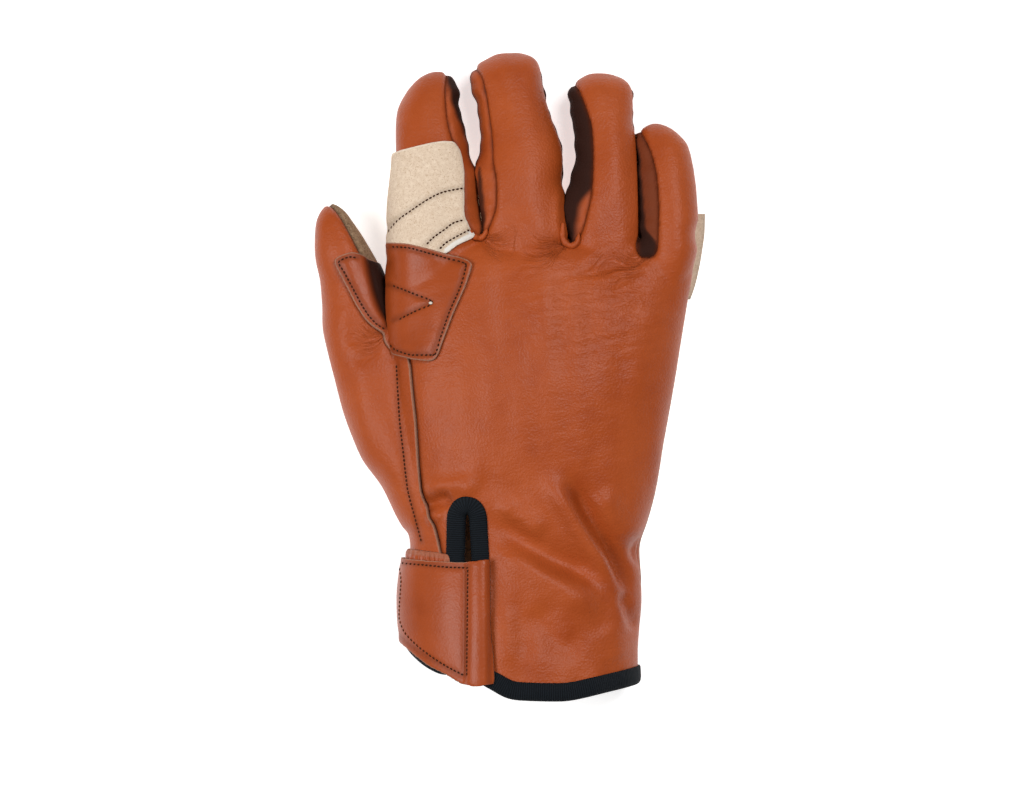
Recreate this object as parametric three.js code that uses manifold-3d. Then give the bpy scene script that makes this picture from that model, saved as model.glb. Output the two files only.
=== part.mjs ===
// A right-hand leather climbing glove, lying palm down as it rests on a table.
// Millimetres, +Z up through the back of the hand, +Y towards the fingertips, +X towards the little finger.
// Each leather panel is a thin wall of a hollow glove: the hand and every finger are open inside.
import * as THREE from "three";
import { mergeVertices } from "three/addons/utils/BufferGeometryUtils.js";
import Module from "manifold-3d";

const wasm = await Module();
wasm.setup();

// Driving sizes of the hand that the glove is cut for
const handLength = 168; // cuff edge to the crotches between the fingers
const handWidth = 113; // across the knuckles
const handDepth = 44; // table to the back of the knuckles

// Materials and how they are stacked
const leatherWall = 1.8;
const suedeWall = 1.4;
const patchWall = 1.4;
const tapeWall = 0.8;
const tapeWidth = 6.8;
const strapWall = 1.8;
const strapFoldHeight = 3.8;
const seamGap = 0.3; // clearance between any two pieces

// The bottom of the leather, so that the suede below it is pressed flat on the table
const restHeight = suedeWall;
const patchOuter = seamGap + patchWall;
const suedeOuter = seamGap + suedeWall;
const tapeOuter = seamGap + tapeWall;
const strapInner = patchOuter + seamGap;

const fingerPoints = 14; // corners of a finger's section
const handPoints = 28; // corners of the hand's section
const archPoints = 10; // corners of the slit's round top
const foldSteps = 2; // sections for each row of the hand where the wrist's folds lie
const farAway = 400; // reaches past the glove on every side
const pastFinger = 3; // reaches past both ends of a finger, as a share of its length
const thinnest = 0.3; // least half size of a section at a fingertip
const tipStart = 0.8; // share of a limb after which its wall starts to close the tip
const sameCorner = 1e-4; // corners closer than this are one
const flatEnough = 0.18; // corners that stand out less than this are left out of a finished piece

// Powers of the sections' superellipses: 2 is an ellipse, more is squarer
const topPower = 2.25;
const handBottomPower = 3.4;
const limbBottomPower = 2.4;

// Height of the side seam, the widest height of every section, as shares of handLength and handDepth
const seamHeights = [
  { along: -0.2, height: 0.5 },
  { along: 0.3, height: 0.46 },
  { along: 0.75, height: 0.46 },
  { along: 1.0, height: 0.52 },
  { along: 1.12, height: 0.49 },
  { along: 1.25, height: 0.4 },
  { along: 1.36, height: 0.3 },
  { along: 1.45, height: 0.24 },
];

// Sections of the hand. left and right are shares of handWidth, top and rise shares of handDepth.
const handRows = [
  { along: -0.04, left: -0.415, right: 0.325, top: 1.05, rise: 0.0 },
  { along: 0.1, left: -0.43, right: 0.321, top: 1.03, rise: 0.0 },
  { along: 0.22, left: -0.44, right: 0.334, top: 1.0, rise: 0.0 },
  { along: 0.33, left: -0.425, right: 0.325, top: 0.96, rise: 0.02 },
  { along: 0.39, left: -0.44, right: 0.352, top: 0.97, rise: 0.0 },
  { along: 0.46, left: -0.462, right: 0.38, top: 0.99, rise: 0.0 },
  { along: 0.56, left: -0.482, right: 0.405, top: 1.02, rise: 0.0 },
  { along: 0.67, left: -0.49, right: 0.435, top: 1.03, rise: 0.0 },
  { along: 0.78, left: -0.494, right: 0.462, top: 1.0, rise: 0.03 },
  { along: 0.88, left: -0.494, right: 0.486, top: 0.94, rise: 0.09 },
  { along: 0.95, left: -0.488, right: 0.502, top: 0.87, rise: 0.15 },
  { along: 0.985, left: -0.47, right: 0.5, top: 0.8, rise: 0.21 },
  { along: 1.01, left: -0.42, right: 0.45, top: 0.7, rise: 0.3 },
];

// Folds and dents of the back of the wrist: a soft ridge or hollow along a line, as shares of
// handWidth and handLength. reach is its half width and height its rise, as shares of handDepth.
const folds = [
  { from: { side: 0.056, along: 0.476 }, to: { side: 0.164, along: 0.348 }, reach: 0.16, height: 0.055 },
  { from: { side: 0.134, along: 0.438 }, to: { side: 0.232, along: 0.322 }, reach: 0.16, height: -0.045 },
  { from: { side: 0.16, along: 0.27 }, to: { side: 0.23, along: 0.25 }, reach: 0.2, height: -0.04 },
  { from: { side: -0.36, along: 0.43 }, to: { side: -0.3, along: 0.41 }, reach: 0.16, height: -0.035 },
];
const foldRange = { start: 0.22, end: 0.56 }; // part of the hand that has the folds, as shares of handLength

// Fingers. root is where the straight axis crosses the crotch line, as shares of handWidth and handLength.
// turn is the angle of the axis from +Y, positive towards the thumb.
const fingers = {
  index: {
    root: { side: -0.338, along: 1.009 },
    turn: 1,
    length: 63,
    width: 29,
    depth: 25.5,
    rows: [
      { along: -0.45, side: 0.02, wide: 1.1, deep: 1.0 },
      { along: 0.0, side: 0.0, wide: 1.17, deep: 1.02 },
      { along: 0.24, side: -0.04, wide: 1.06, deep: 1.0 },
      { along: 0.46, side: -0.03, wide: 0.96, deep: 0.97 },
      { along: 0.64, side: -0.06, wide: 0.9, deep: 0.93 },
      { along: 0.76, side: -0.08, wide: 0.82, deep: 0.87 },
      { along: 0.87, side: -0.03, wide: 0.69, deep: 0.74 },
      { along: 0.95, side: 0.02, wide: 0.47, deep: 0.52 },
      { along: 1.0, side: 0.04, wide: 0.17, deep: 0.2 },
    ],
  },
  middle: {
    root: { side: -0.046, along: 1.009 },
    turn: 5.9,
    length: 70,
    width: 31.5,
    depth: 27,
    rows: [
      { along: -0.4, side: 0.0, wide: 0.95, deep: 0.95 },
      { along: 0.0, side: 0.0, wide: 0.97, deep: 1.0 },
      { along: 0.22, side: -0.03, wide: 1.0, deep: 0.99 },
      { along: 0.4, side: 0.02, wide: 1.04, deep: 0.97 },
      { along: 0.52, side: 0.05, wide: 0.93, deep: 0.94 },
      { along: 0.64, side: 0.02, wide: 0.85, deep: 0.9 },
      { along: 0.76, side: -0.01, wide: 0.83, deep: 0.88 },
      { along: 0.88, side: -0.04, wide: 0.86, deep: 0.82 },
      { along: 0.95, side: -0.02, wide: 0.72, deep: 0.62 },
      { along: 1.0, side: 0.0, wide: 0.34, deep: 0.24 },
    ],
  },
  ring: {
    root: { side: 0.213, along: 0.998 },
    turn: 1.6,
    length: 64,
    width: 27.5,
    depth: 25,
    rows: [
      { along: -0.4, side: 0.0, wide: 0.95, deep: 0.97 },
      { along: 0.0, side: -0.02, wide: 0.93, deep: 1.0 },
      { along: 0.2, side: -0.03, wide: 1.0, deep: 1.0 },
      { along: 0.36, side: 0.01, wide: 0.92, deep: 0.98 },
      { along: 0.54, side: 0.03, wide: 0.8, deep: 0.94 },
      { along: 0.66, side: 0.02, wide: 0.79, deep: 0.9 },
      { along: 0.77, side: 0.01, wide: 0.86, deep: 0.88 },
      { along: 0.88, side: 0.0, wide: 0.88, deep: 0.82 },
      { along: 0.95, side: 0.0, wide: 0.72, deep: 0.62 },
      { along: 1.0, side: 0.0, wide: 0.32, deep: 0.24 },
    ],
  },
  little: {
    root: { side: 0.428, along: 0.987 },
    turn: 7.5,
    length: 47.5,
    width: 22.2,
    depth: 22,
    rows: [
      { along: -0.5, side: -0.4, wide: 0.65, deep: 0.8 },
      { along: 0.0, side: 0.0, wide: 0.91, deep: 1.08 },
      { along: 0.31, side: 0.09, wide: 0.9, deep: 1.04 },
      { along: 0.47, side: 0.1, wide: 0.92, deep: 1.0 },
      { along: 0.62, side: 0.11, wide: 0.9, deep: 0.96 },
      { along: 0.78, side: 0.1, wide: 0.86, deep: 0.88 },
      { along: 0.88, side: 0.05, wide: 0.7, deep: 0.74 },
      { along: 0.95, side: 0.01, wide: 0.49, deep: 0.52 },
      { along: 1.0, side: -0.01, wide: 0.18, deep: 0.2 },
    ],
  },
};

// The thumb and the ball of the thumb, which grows out of the hand beside the wrist.
// height is the middle of each section as a share of handDepth.
const thumb = {
  root: { side: -0.36, along: 0.392 },
  turn: 17.2,
  length: 123,
  width: 27,
  depth: 27,
  rows: [
    { along: -0.08, side: 0.3, wide: 0.6, deep: 0.9, height: 0.42 },
    { along: 0.0, side: 0.06, wide: 0.9, deep: 1.16, height: 0.42 },
    { along: 0.13, side: 0.03, wide: 1.04, deep: 1.18, height: 0.42 },
    { along: 0.25, side: -0.08, wide: 1.16, deep: 1.16, height: 0.41 },
    { along: 0.38, side: -0.13, wide: 1.15, deep: 1.1, height: 0.39 },
    { along: 0.5, side: -0.14, wide: 1.08, deep: 1.02, height: 0.37 },
    { along: 0.63, side: -0.15, wide: 1.0, deep: 0.95, height: 0.35 },
    { along: 0.72, side: -0.08, wide: 0.93, deep: 0.9, height: 0.33 },
    { along: 0.79, side: -0.06, wide: 0.83, deep: 0.88, height: 0.32 },
    { along: 0.86, side: -0.08, wide: 0.73, deep: 0.84, height: 0.32 },
    { along: 0.92, side: -0.08, wide: 0.57, deep: 0.74, height: 0.31 },
    { along: 0.97, side: -0.07, wide: 0.39, deep: 0.54, height: 0.31 },
    { along: 1.0, side: -0.05, wide: 0.12, deep: 0.2, height: 0.3 },
  ],
};

// Middle of the gap between two fingers, seen from above, as shares of handWidth and handLength.
// leftSeam and rightSeam are the heights of the upper seams of the two fingers, as shares of half their depth.
const gaps = [
  {
    name: "fourchette_index_middle",
    left: "index",
    right: "middle",
    leftSeam: 0.66,
    rightSeam: 0.7,
    line: [
      { along: 0.9, side: -0.18 },
      { along: 1.015, side: -0.184 },
      { along: 1.1, side: -0.205 },
      { along: 1.17, side: -0.214 },
      { along: 1.25, side: -0.218 },
      { along: 1.32, side: -0.238 },
      { along: 1.44, side: -0.262 },
    ],
  },
  {
    name: "fourchette_middle_ring",
    left: "middle",
    right: "ring",
    leftSeam: 0.12,
    rightSeam: 0.82,
    line: [
      { along: 0.9, side: 0.09 },
      { along: 1.0, side: 0.094 },
      { along: 1.07, side: 0.078 },
      { along: 1.14, side: 0.09 },
      { along: 1.21, side: 0.096 },
      { along: 1.25, side: 0.08 },
      { along: 1.32, side: 0.058 },
      { along: 1.44, side: 0.04 },
    ],
  },
  {
    name: "fourchette_ring_little",
    left: "ring",
    right: "little",
    leftSeam: 0.12,
    rightSeam: 0.78,
    line: [
      { along: 0.9, side: 0.335 },
      { along: 1.0, side: 0.333 },
      { along: 1.1, side: 0.332 },
      { along: 1.2, side: 0.325 },
      { along: 1.26, side: 0.316 },
      { along: 1.44, side: 0.325 },
    ],
  },
];
const lowerSeam = 0.55; // depth of the lower seams under the side seam, as a share of half a finger's depth
const seamRoot = -0.28; // share of a finger's length where its side strips start, inside the hand
// How far a side strip reaches round its finger: past the tip it leaves the finger's side
const stripRows = [
  { along: seamRoot, side: 0.0 },
  { along: 0.72, side: 0.06 },
  { along: 0.88, side: 0.24 },
  { along: 0.95, side: 0.6 },
];

// Plan outlines, as shares of handWidth and handLength unless another piece is named
const radialSeam = [
  { side: -0.4975, along: 2.0 },
  { side: -0.4975, along: 0.79 },
  { side: -0.43, along: 0.75 },
  { side: -0.413, along: 0.612 },
  { side: -0.38, along: 0.48 },
  { side: -0.334, along: 0.337 },
  { side: -0.29, along: 0.216 },
  { side: -0.246, along: 0.12 },
  { side: -0.246, along: -0.1 },
];
const palmSeam = [
  { side: -0.4975, along: 2.0 },
  { side: -0.4975, along: 0.79 },
  { side: -0.53, along: 0.765 },
  { side: -0.524, along: 0.656 },
  { side: -0.485, along: 0.546 },
  { side: -0.432, along: 0.436 },
  { side: -0.4, along: 0.337 },
  { side: -0.377, along: 0.216 },
  { side: -0.367, along: -0.1 },
];
// Seam between the thumb's leather and its suede, as shares of the thumb's width and length
const thumbSeam = [
  { side: 0.173, along: 0.557 },
  { side: 0.152, along: 0.652 },
  { side: 0.113, along: 0.773 },
  { side: 0.04, along: 0.895 },
  { side: -0.044, along: 0.994 },
  { side: -0.223, along: 1.085 },
];
const thumbSeamHeight = 0.32; // the height that the seam is drawn at, as a share of handDepth
const thumbSeamLean = 0.3; // how far the thumb's seam shifts sideways for each millimetre up
const cuffEdge = [
  { side: -0.8, along: 0.2 },
  { side: -0.475, along: 0.128 },
  { side: -0.377, along: 0.075 },
  { side: -0.305, along: 0.053 },
  { side: -0.17, along: 0.031 },
  { side: -0.082, along: 0.003 },
  { side: 0.065, along: 0.0 },
  { side: 0.196, along: 0.015 },
  { side: 0.344, along: 0.035 },
  { side: 0.8, along: 0.1 },
];
// The slit in the back of the wrist: its two edges, from the round top down to the cuff
const vent = [
  { along: 0.405, left: -0.245, right: -0.231 },
  { along: 0.311, left: -0.25, right: -0.222 },
  { along: 0.128, left: -0.272, right: -0.212 },
  { along: 0.073, left: -0.29, right: -0.194 },
  { along: 0.033, left: -0.315, right: -0.167 },
  { along: -0.1, left: -0.46, right: 0.01 },
];
const wrapOutline = [
  { side: -0.6, along: 1.19 },
  { side: -0.491, along: 1.203 },
  { side: -0.393, along: 1.216 },
  { side: -0.262, along: 1.222 },
  { side: -0.222, along: 1.21 },
  { side: -0.196, along: 1.08 },
  { side: -0.184, along: 1.009 },
  { side: -0.2, along: 0.985 },
  { side: -0.223, along: 0.966 },
  { side: -0.494, along: 1.008 },
  { side: -0.6, along: 1.008 },
];
// The part of the thumb patch that lies on the hand, and the part that lies on the thumb, as shares of each
const patchOnHand = [
  { side: -0.494, along: 1.002 },
  { side: -0.223, along: 0.96 },
  { side: -0.337, along: 0.74 },
  { side: -0.432, along: 0.751 },
];
const patchOnThumb = [
  { side: 0.113, along: 0.54 },
  { side: 0.118, along: 0.581 },
  { side: -0.033, along: 0.638 },
  { side: -0.167, along: 0.705 },
  { side: -0.22, along: 0.838 },
  { side: -0.034, along: 0.843 },
  { side: 0.142, along: 0.834 },
  { side: 0.335, along: 0.797 },
  { side: 0.523, along: 0.837 },
];
const palmPatchOutline = [
  { side: -0.2, along: 0.74 },
  { side: -0.19, along: 0.945 },
  { side: -0.15, along: 0.99 },
  { side: 0.3, along: 0.99 },
  { side: 0.4, along: 0.98 },
  { side: 0.42, along: 1.06 },
  { side: 0.56, along: 1.06 },
  { side: 0.56, along: 0.75 },
  { side: 0.42, along: 0.45 },
  { side: 0.3, along: 0.2 },
  { side: -0.05, along: 0.13 },
  { side: -0.33, along: 0.17 },
  { side: -0.37, along: 0.42 },
  { side: -0.38, along: 0.7 },
];
// The corner of the palm suede that stands out beside the little finger
const edgeTabOutline = [
  { side: 0.46, along: 1.068 },
  { side: 0.543, along: 1.068 },
  { side: 0.539, along: 1.0 },
  { side: 0.503, along: 0.87 },
  { side: 0.46, along: 0.87 },
];
const edgeTabHeight = 0.24; // its underside, as a share of handDepth
const strapOutline = [
  { side: -0.7, along: 0.313 },
  { side: -0.147, along: 0.313 },
  { side: -0.147, along: 0.033 },
  { side: -0.196, along: 0.033 },
  { side: -0.278, along: 0.055 },
  { side: -0.426, along: 0.118 },
  { side: -0.7, along: 0.2 },
];
const strapFoldSide = -0.226; // the folded end of the strap starts here
const strapBaseOutline = [
  { side: -0.7, along: 0.333 },
  { side: -0.345, along: 0.333 },
  { side: -0.35, along: 0.28 },
  { side: -0.385, along: 0.14 },
  { side: -0.7, along: 0.24 },
];
const strapLowEnd = 0.2; // the strap and its base end this high on the thumb side, as a share of handDepth
const patchLowEnd = 0.12; // lowest part of the thumb patch, as a share of handDepth
const palmPatchTop = 0.09; // the palm suede stays this far under the side seam, as a share of handDepth

// Value of one column of a table at a place along it
function columnAt(rows, along, column) {
  const after = rows.findIndex((row) => row.along > along);
  if (after === 0) return rows[0][column];
  if (after < 0) return rows[rows.length - 1][column];
  const [a, b] = [rows[after - 1], rows[after]];
  return THREE.MathUtils.mapLinear(along, a.along, b.along, a[column], b[column]);
}

function seamHeightAt(y) {
  return handDepth * columnAt(seamHeights, y / handLength, "height");
}

function planPoint({ side, along }) {
  return new THREE.Vector2(side * handWidth, along * handLength);
}

// A closed three.js geometry as a solid that can be cut and joined
function solidFrom(geometry) {
  const bare = geometry.index ? geometry.toNonIndexed() : geometry.clone();
  bare.deleteAttribute("normal");
  bare.deleteAttribute("uv");
  const merged = mergeVertices(bare, sameCorner);
  const position = merged.getAttribute("position");
  return new wasm.Manifold(
    new wasm.Mesh({
      numProp: position.itemSize,
      vertProperties: position.array,
      triVerts: new Uint32Array(merged.index.array),
    }),
  );
}

// A closed skin through rings of equally many points, with a flat cap on each end
function loft(rings) {
  const count = rings[0].length;
  const corners = rings.flat();
  const faces = [];
  for (let r = 0; r + 1 < rings.length; r += 1) {
    for (let p = 0; p < count; p += 1) {
      const [a, b] = [r * count + p, r * count + ((p + 1) % count)];
      faces.push(a, b, b + count, a, b + count, a + count);
    }
  }
  const last = (rings.length - 1) * count;
  for (let p = 1; p + 1 < count; p += 1) {
    faces.push(0, p + 1, p, last, last + p, last + p + 1);
  }
  return new THREE.BufferGeometry().setFromPoints(corners).setIndex(faces);
}

// One section: a superellipse, squarer below than above, in an upright plane across the limb
function sectionRing({ centre, across, halfWidth, up, down, points, bottomPower }) {
  const ring = [];
  for (let p = 0; p < points; p += 1) {
    const angle = (2 * Math.PI * p) / points;
    const [c, s] = [Math.cos(angle), Math.sin(angle)];
    const power = 2 / (s < 0 ? bottomPower : topPower);
    const sideways = halfWidth * Math.sign(c) * Math.abs(c) ** power;
    const upwards = (s < 0 ? down : up) * Math.sign(s) * Math.abs(s) ** power;
    ring.push(
      new THREE.Vector3(centre.x + across.x * sideways, centre.y + across.y * sideways, centre.z + upwards),
    );
  }
  return ring;
}

// How much of a wall's thickness goes into closing the tip at this share of a limb
function tipShare(along) {
  return Math.max(0, (along - tipStart) / (1 - tipStart));
}

// Sections of the hand, with more of them where the folds lie
function handSections() {
  const columns = Object.keys(handRows[0]);
  return handRows.flatMap((row, number) => {
    const next = handRows[number + 1];
    if (!next || row.along < foldRange.start || next.along > foldRange.end) return [row];
    return Array.from({ length: foldSteps }, (_, step) =>
      Object.fromEntries(
        columns.map((name) => [name, THREE.MathUtils.lerp(row[name], next[name], step / foldSteps)]),
      ),
    );
  });
}

// How much the folds lift a point of the back of the hand
function foldLift({ x, y }) {
  const place = new THREE.Vector3(x, y, 0);
  const nearest = new THREE.Vector3();
  return folds.reduce((lift, { from, to, reach, height }) => {
    const [a, b] = [planPoint(from), planPoint(to)];
    const line = new THREE.Line3(new THREE.Vector3(a.x, a.y, 0), new THREE.Vector3(b.x, b.y, 0));
    line.closestPointToPoint(place, true, nearest);
    const share = Math.min(1, nearest.distanceTo(place) / (reach * handDepth));
    return lift + height * handDepth * 0.5 * (1 + Math.cos(Math.PI * share));
  }, 0);
}

// The hand without its fingers, grown by offset
function handSolid(offset) {
  const rings = handSections().map((row) => {
    const seam = seamHeightAt(row.along * handLength);
    const ring = sectionRing({
      centre: new THREE.Vector3(
        (handWidth * (row.left + row.right)) / 2,
        row.along * handLength + tipShare(row.along) * offset,
        seam,
      ),
      across: new THREE.Vector2(-1, 0),
      halfWidth: (handWidth * (row.right - row.left)) / 2 + offset,
      up: handDepth * row.top - seam + offset,
      down: seam - handDepth * row.rise - restHeight + offset,
      points: handPoints,
      bottomPower: handBottomPower,
    });
    ring.filter(({ z }) => z > seam).forEach((point) => (point.z += foldLift(point)));
    return ring;
  });
  return solidFrom(loft(rings));
}

// Directions of a limb in plan: along it, and across it towards the little finger
function limbDirections(limb) {
  const turn = THREE.MathUtils.degToRad(limb.turn);
  return {
    forward: new THREE.Vector2(-Math.sin(turn), Math.cos(turn)),
    across: new THREE.Vector2(Math.cos(turn), Math.sin(turn)),
  };
}

// A point of a limb in plan, from shares of its length and its width
function limbPoint(limb, along, side) {
  const { forward, across } = limbDirections(limb);
  return planPoint(limb.root)
    .addScaledVector(forward, along * limb.length)
    .addScaledVector(across, side * limb.width);
}

// A finger or the thumb, grown by offset
function limbSolid(limb, offset) {
  const { forward, across } = limbDirections(limb);
  const rings = limb.rows.map((row) => {
    const plan = limbPoint(limb, row.along, row.side).addScaledVector(forward, tipShare(row.along) * offset);
    const height = row.height === undefined ? seamHeightAt(plan.y) : row.height * handDepth;
    const half = Math.max((limb.depth * row.deep) / 2 + offset, thinnest);
    return sectionRing({
      centre: new THREE.Vector3(plan.x, plan.y, height),
      across: across.clone().negate(),
      halfWidth: Math.max((limb.width * row.wide) / 2 + offset, thinnest),
      up: half,
      down: half,
      points: fingerPoints,
      bottomPower: limbBottomPower,
    });
  });
  return solidFrom(loft(rings));
}

// The whole glove's form, grown by offset: 0 is the outside of the leather
const forms = new Map();
function form(offset) {
  if (!forms.has(offset)) {
    const limbs = [...Object.values(fingers), thumb].map((limb) => limbSolid(limb, offset));
    forms.set(
      offset,
      limbs.reduce((whole, limb) => whole.add(limb), handSolid(offset)),
    );
  }
  return forms.get(offset);
}

// A wall between two offsets of the form
function wall(inner, outer) {
  return form(outer).subtract(form(inner));
}

// An upright prism over a plan outline. lean shifts it sideways for each millimetre up.
function prism(points, { low = -farAway, high = farAway, lean = 0, leanFrom = 0 } = {}) {
  const shape = points instanceof THREE.Shape ? points : new THREE.Shape(points);
  const geometry = new THREE.ExtrudeGeometry(shape, {
    depth: high - low,
    bevelEnabled: false,
    curveSegments: archPoints,
  });
  geometry.translate(0, 0, low - leanFrom);
  geometry.applyMatrix4(new THREE.Matrix4().makeShear(0, 0, 0, 0, lean, 0));
  geometry.translate(0, 0, leanFrom);
  return solidFrom(geometry);
}

// A slab across the whole glove between two heights, each given as a list of { y, z }
function heightSlab(lower, upper) {
  const outline = [...lower.map(({ y, z }) => [y, z]), ...upper.map(({ y, z }) => [y, z]).reverse()];
  const shape = new THREE.Shape(outline.map(([y, z]) => new THREE.Vector2(y, z)));
  const geometry = new THREE.ExtrudeGeometry(shape, { depth: 2 * farAway, bevelEnabled: false });
  // Turns the outline's first direction to +Y and its second to +Z
  geometry.applyMatrix4(
    new THREE.Matrix4().set(0, 0, 1, -farAway, 1, 0, 0, 0, 0, 1, 0, 0, 0, 0, 0, 1),
  );
  return solidFrom(geometry);
}

// Everything over the side seam, or under it, a distance away
function besideSideSeam(isOver, distance) {
  const heights = [
    { y: -farAway, z: seamHeightAt(-farAway) },
    ...seamHeights.map((row) => ({ y: row.along * handLength, z: row.height * handDepth })),
    { y: farAway, z: seamHeightAt(farAway) },
  ].map(({ y, z }) => ({ y, z: z + (isOver ? distance : -distance) }));
  const far = heights.map(({ y }) => ({ y, z: isOver ? farAway : -farAway }));
  return isOver ? heightSlab(heights, far) : heightSlab(far, heights);
}

// Everything on one side of a line drawn in plan: facing is 1 towards the little finger, -1 towards the thumb
function besideLine(points, facing, options) {
  const [first, last] = [points[0], points[points.length - 1]];
  const far = facing * farAway;
  return prism([...points, new THREE.Vector2(far, last.y), new THREE.Vector2(far, first.y)], options);
}

// The zone of one finger's side strip, from its axis to the middle of the gap, grown by clearance
function stripZone(finger, gap, facing, upperSeam, clearance) {
  const overlap = seamGap + clearance;
  const inner = stripRows.map((row) => {
    const point = limbPoint(finger, row.along, facing * row.side);
    return new THREE.Vector2(point.x - facing * clearance, point.y);
  });
  inner[0].y -= clearance;
  inner[inner.length - 1].y += clearance;
  const middle = gap.line.map(planPoint).map(({ x, y }) => new THREE.Vector2(x + facing * overlap, y));
  const plan = besideLine(inner, facing).intersect(besideLine(middle, -facing));
  const [first, last] = [finger.rows[0], finger.rows[finger.rows.length - 1]];
  const rows = [{ ...first, along: -pastFinger }, ...finger.rows, { ...last, along: pastFinger }];
  const heightsAt = (share) =>
    rows.map(({ along, deep }) => {
      const { y } = limbPoint(finger, along, 0);
      return { y, z: seamHeightAt(y) + (share * finger.depth * deep) / 2 };
    });
  const shifted = (heights, distance) => heights.map(({ y, z }) => ({ y, z: z + distance }));
  const slab = heightSlab(
    shifted(heightsAt(-lowerSeam), -clearance),
    shifted(heightsAt(upperSeam), clearance),
  );
  return plan.intersect(slab);
}

function gapZone(gap, clearance) {
  const left = stripZone(fingers[gap.left], gap, 1, gap.leftSeam, clearance);
  const right = stripZone(fingers[gap.right], gap, -1, gap.rightSeam, clearance);
  return left.add(right);
}

// The side of the glove on the little finger's side of a seam drawn in plan, shifted by distance
function beyondSeam(seam, distance) {
  const points = seam.map(planPoint).map(({ x, y }) => new THREE.Vector2(x + distance, y));
  return besideLine(points, 1);
}

// Everything on the finger side of the cuff's edge, moved in by distance
function insideCuff(distance) {
  const points = cuffEdge.map(planPoint).map(({ x, y }) => new THREE.Vector2(x, y + distance));
  return prism([
    ...points,
    new THREE.Vector2(points[points.length - 1].x, farAway),
    new THREE.Vector2(points[0].x, farAway),
  ]);
}

// The slit in the back of the wrist, grown by distance, with a round top
function ventZone(distance) {
  const shape = new THREE.Shape();
  const top = vent[0];
  const centre = planPoint({ side: (top.left + top.right) / 2, along: top.along });
  const radius = (handWidth * (top.right - top.left)) / 2 + distance;
  const rows = vent.slice(1).reverse();
  const bottom = rows[0];
  shape.moveTo(handWidth * bottom.right + distance, handLength * bottom.along);
  rows.slice(1).forEach((row) => shape.lineTo(handWidth * row.right + distance, handLength * row.along));
  shape.absarc(centre.x, centre.y, radius, 0, Math.PI, false);
  vent
    .slice(1)
    .forEach((row) => shape.lineTo(handWidth * row.left - distance, handLength * row.along));
  return prism(shape).intersect(besideSideSeam(true, 0));
}

// What stays of the leather at the cuff and the slit, clear of the tape's fold
function insideTapeFold(distance) {
  return insideCuff(distance).subtract(ventZone(distance));
}

// The biggest of the separate bodies that a cut can leave
function largest(solid) {
  const bodies = solid.decompose();
  bodies.sort((a, b) => b.volume() - a.volume());
  return bodies[0];
}

// Cutters shared by the leather panels
const half = seamGap / 2;
const over = besideSideSeam(true, half);
const under = besideSideSeam(false, half);
const gapZones = gaps.map((gap) => gapZone(gap, seamGap)).reduce((whole, zone) => whole.add(zone));
const thumbInside = (clearance) => {
  const seam = thumbSeam.map(({ along, side }) => limbPoint(thumb, along, side));
  seam.forEach((point) => (point.x -= clearance));
  seam[0].y -= clearance;
  const limit = handWidth * radialSeam[0].side - seamGap + clearance;
  const besideHand = [new THREE.Vector2(limit, -farAway), new THREE.Vector2(limit, farAway)];
  const lean = { lean: thumbSeamLean, leanFrom: handDepth * thumbSeamHeight };
  return besideLine(seam, 1, lean).intersect(besideLine(besideHand, -1));
};
const shell = wall(-leatherWall, 0).intersect(insideTapeFold(tapeWall + seamGap));

// Leather panels
function backPanel() {
  return shell.intersect(over).intersect(beyondSeam(radialSeam, half)).subtract(gapZones);
}

function palmPanel() {
  return shell
    .intersect(under)
    .intersect(beyondSeam(palmSeam, half))
    .subtract(gapZones)
    .subtract(thumbInside(seamGap));
}

function thumbBack() {
  const upperPart = besideSideSeam(true, -half).subtract(beyondSeam(radialSeam, -half));
  const lowerPart = besideSideSeam(false, -half).subtract(beyondSeam(palmSeam, -half));
  return shell.intersect(upperPart.add(lowerPart)).subtract(thumbInside(seamGap));
}

function thumbFront() {
  return shell.intersect(thumbInside(0));
}

function fourchette(gap) {
  return shell.intersect(gapZone(gap, 0));
}

// Reinforcements laid on the leather
function indexWrap() {
  return wall(seamGap, suedeOuter).intersect(prism(wrapOutline.map(planPoint))).subtract(gapZones);
}

function thumbPatch() {
  const onThumb = patchOnThumb.map(({ along, side }) => limbPoint(thumb, along, side));
  const outline = [...patchOnHand.map(planPoint), ...onThumb];
  return wall(seamGap, patchOuter).intersect(prism(outline, { low: handDepth * patchLowEnd }));
}

function palmSuede() {
  const underSeam = besideSideSeam(false, handDepth * palmPatchTop);
  const sheet = wall(seamGap, suedeOuter)
    .intersect(prism(palmPatchOutline.map(planPoint), { low: 0 }))
    .intersect(underSeam);
  const low = handDepth * edgeTabHeight;
  const tab = prism(edgeTabOutline.map(planPoint), { low, high: low + suedeWall });
  return sheet.add(tab.subtract(form(seamGap)));
}

// Grosgrain tape folded over the leather's edge, round the cuff and up both sides of the slit
function cuffTape() {
  const bandOfTape = insideCuff(0)
    .subtract(ventZone(0))
    .subtract(insideCuff(tapeWidth).subtract(ventZone(tapeWidth)));
  const room = wall(-leatherWall - seamGap, seamGap).intersect(insideTapeFold(tapeWall));
  return wall(-leatherWall - tapeOuter, tapeOuter).intersect(bandOfTape).subtract(room);
}

function wristStrap() {
  const outline = strapOutline.map(planPoint);
  const aboveEnd = { low: handDepth * strapLowEnd };
  const flat = wall(strapInner, strapInner + strapWall).intersect(prism(outline, aboveEnd));
  const foldEdge = handWidth * strapFoldSide;
  const foldOutline = [
    new THREE.Vector2(foldEdge, outline[1].y),
    outline[1],
    outline[2],
    new THREE.Vector2(foldEdge, outline[3].y),
  ];
  const fold = wall(strapInner, strapInner + strapFoldHeight).intersect(prism(foldOutline, aboveEnd));
  return flat.add(fold);
}

function strapBase() {
  return wall(seamGap, patchOuter).intersect(
    prism(strapBaseOutline.map(planPoint), { low: handDepth * strapLowEnd }),
  );
}

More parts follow.
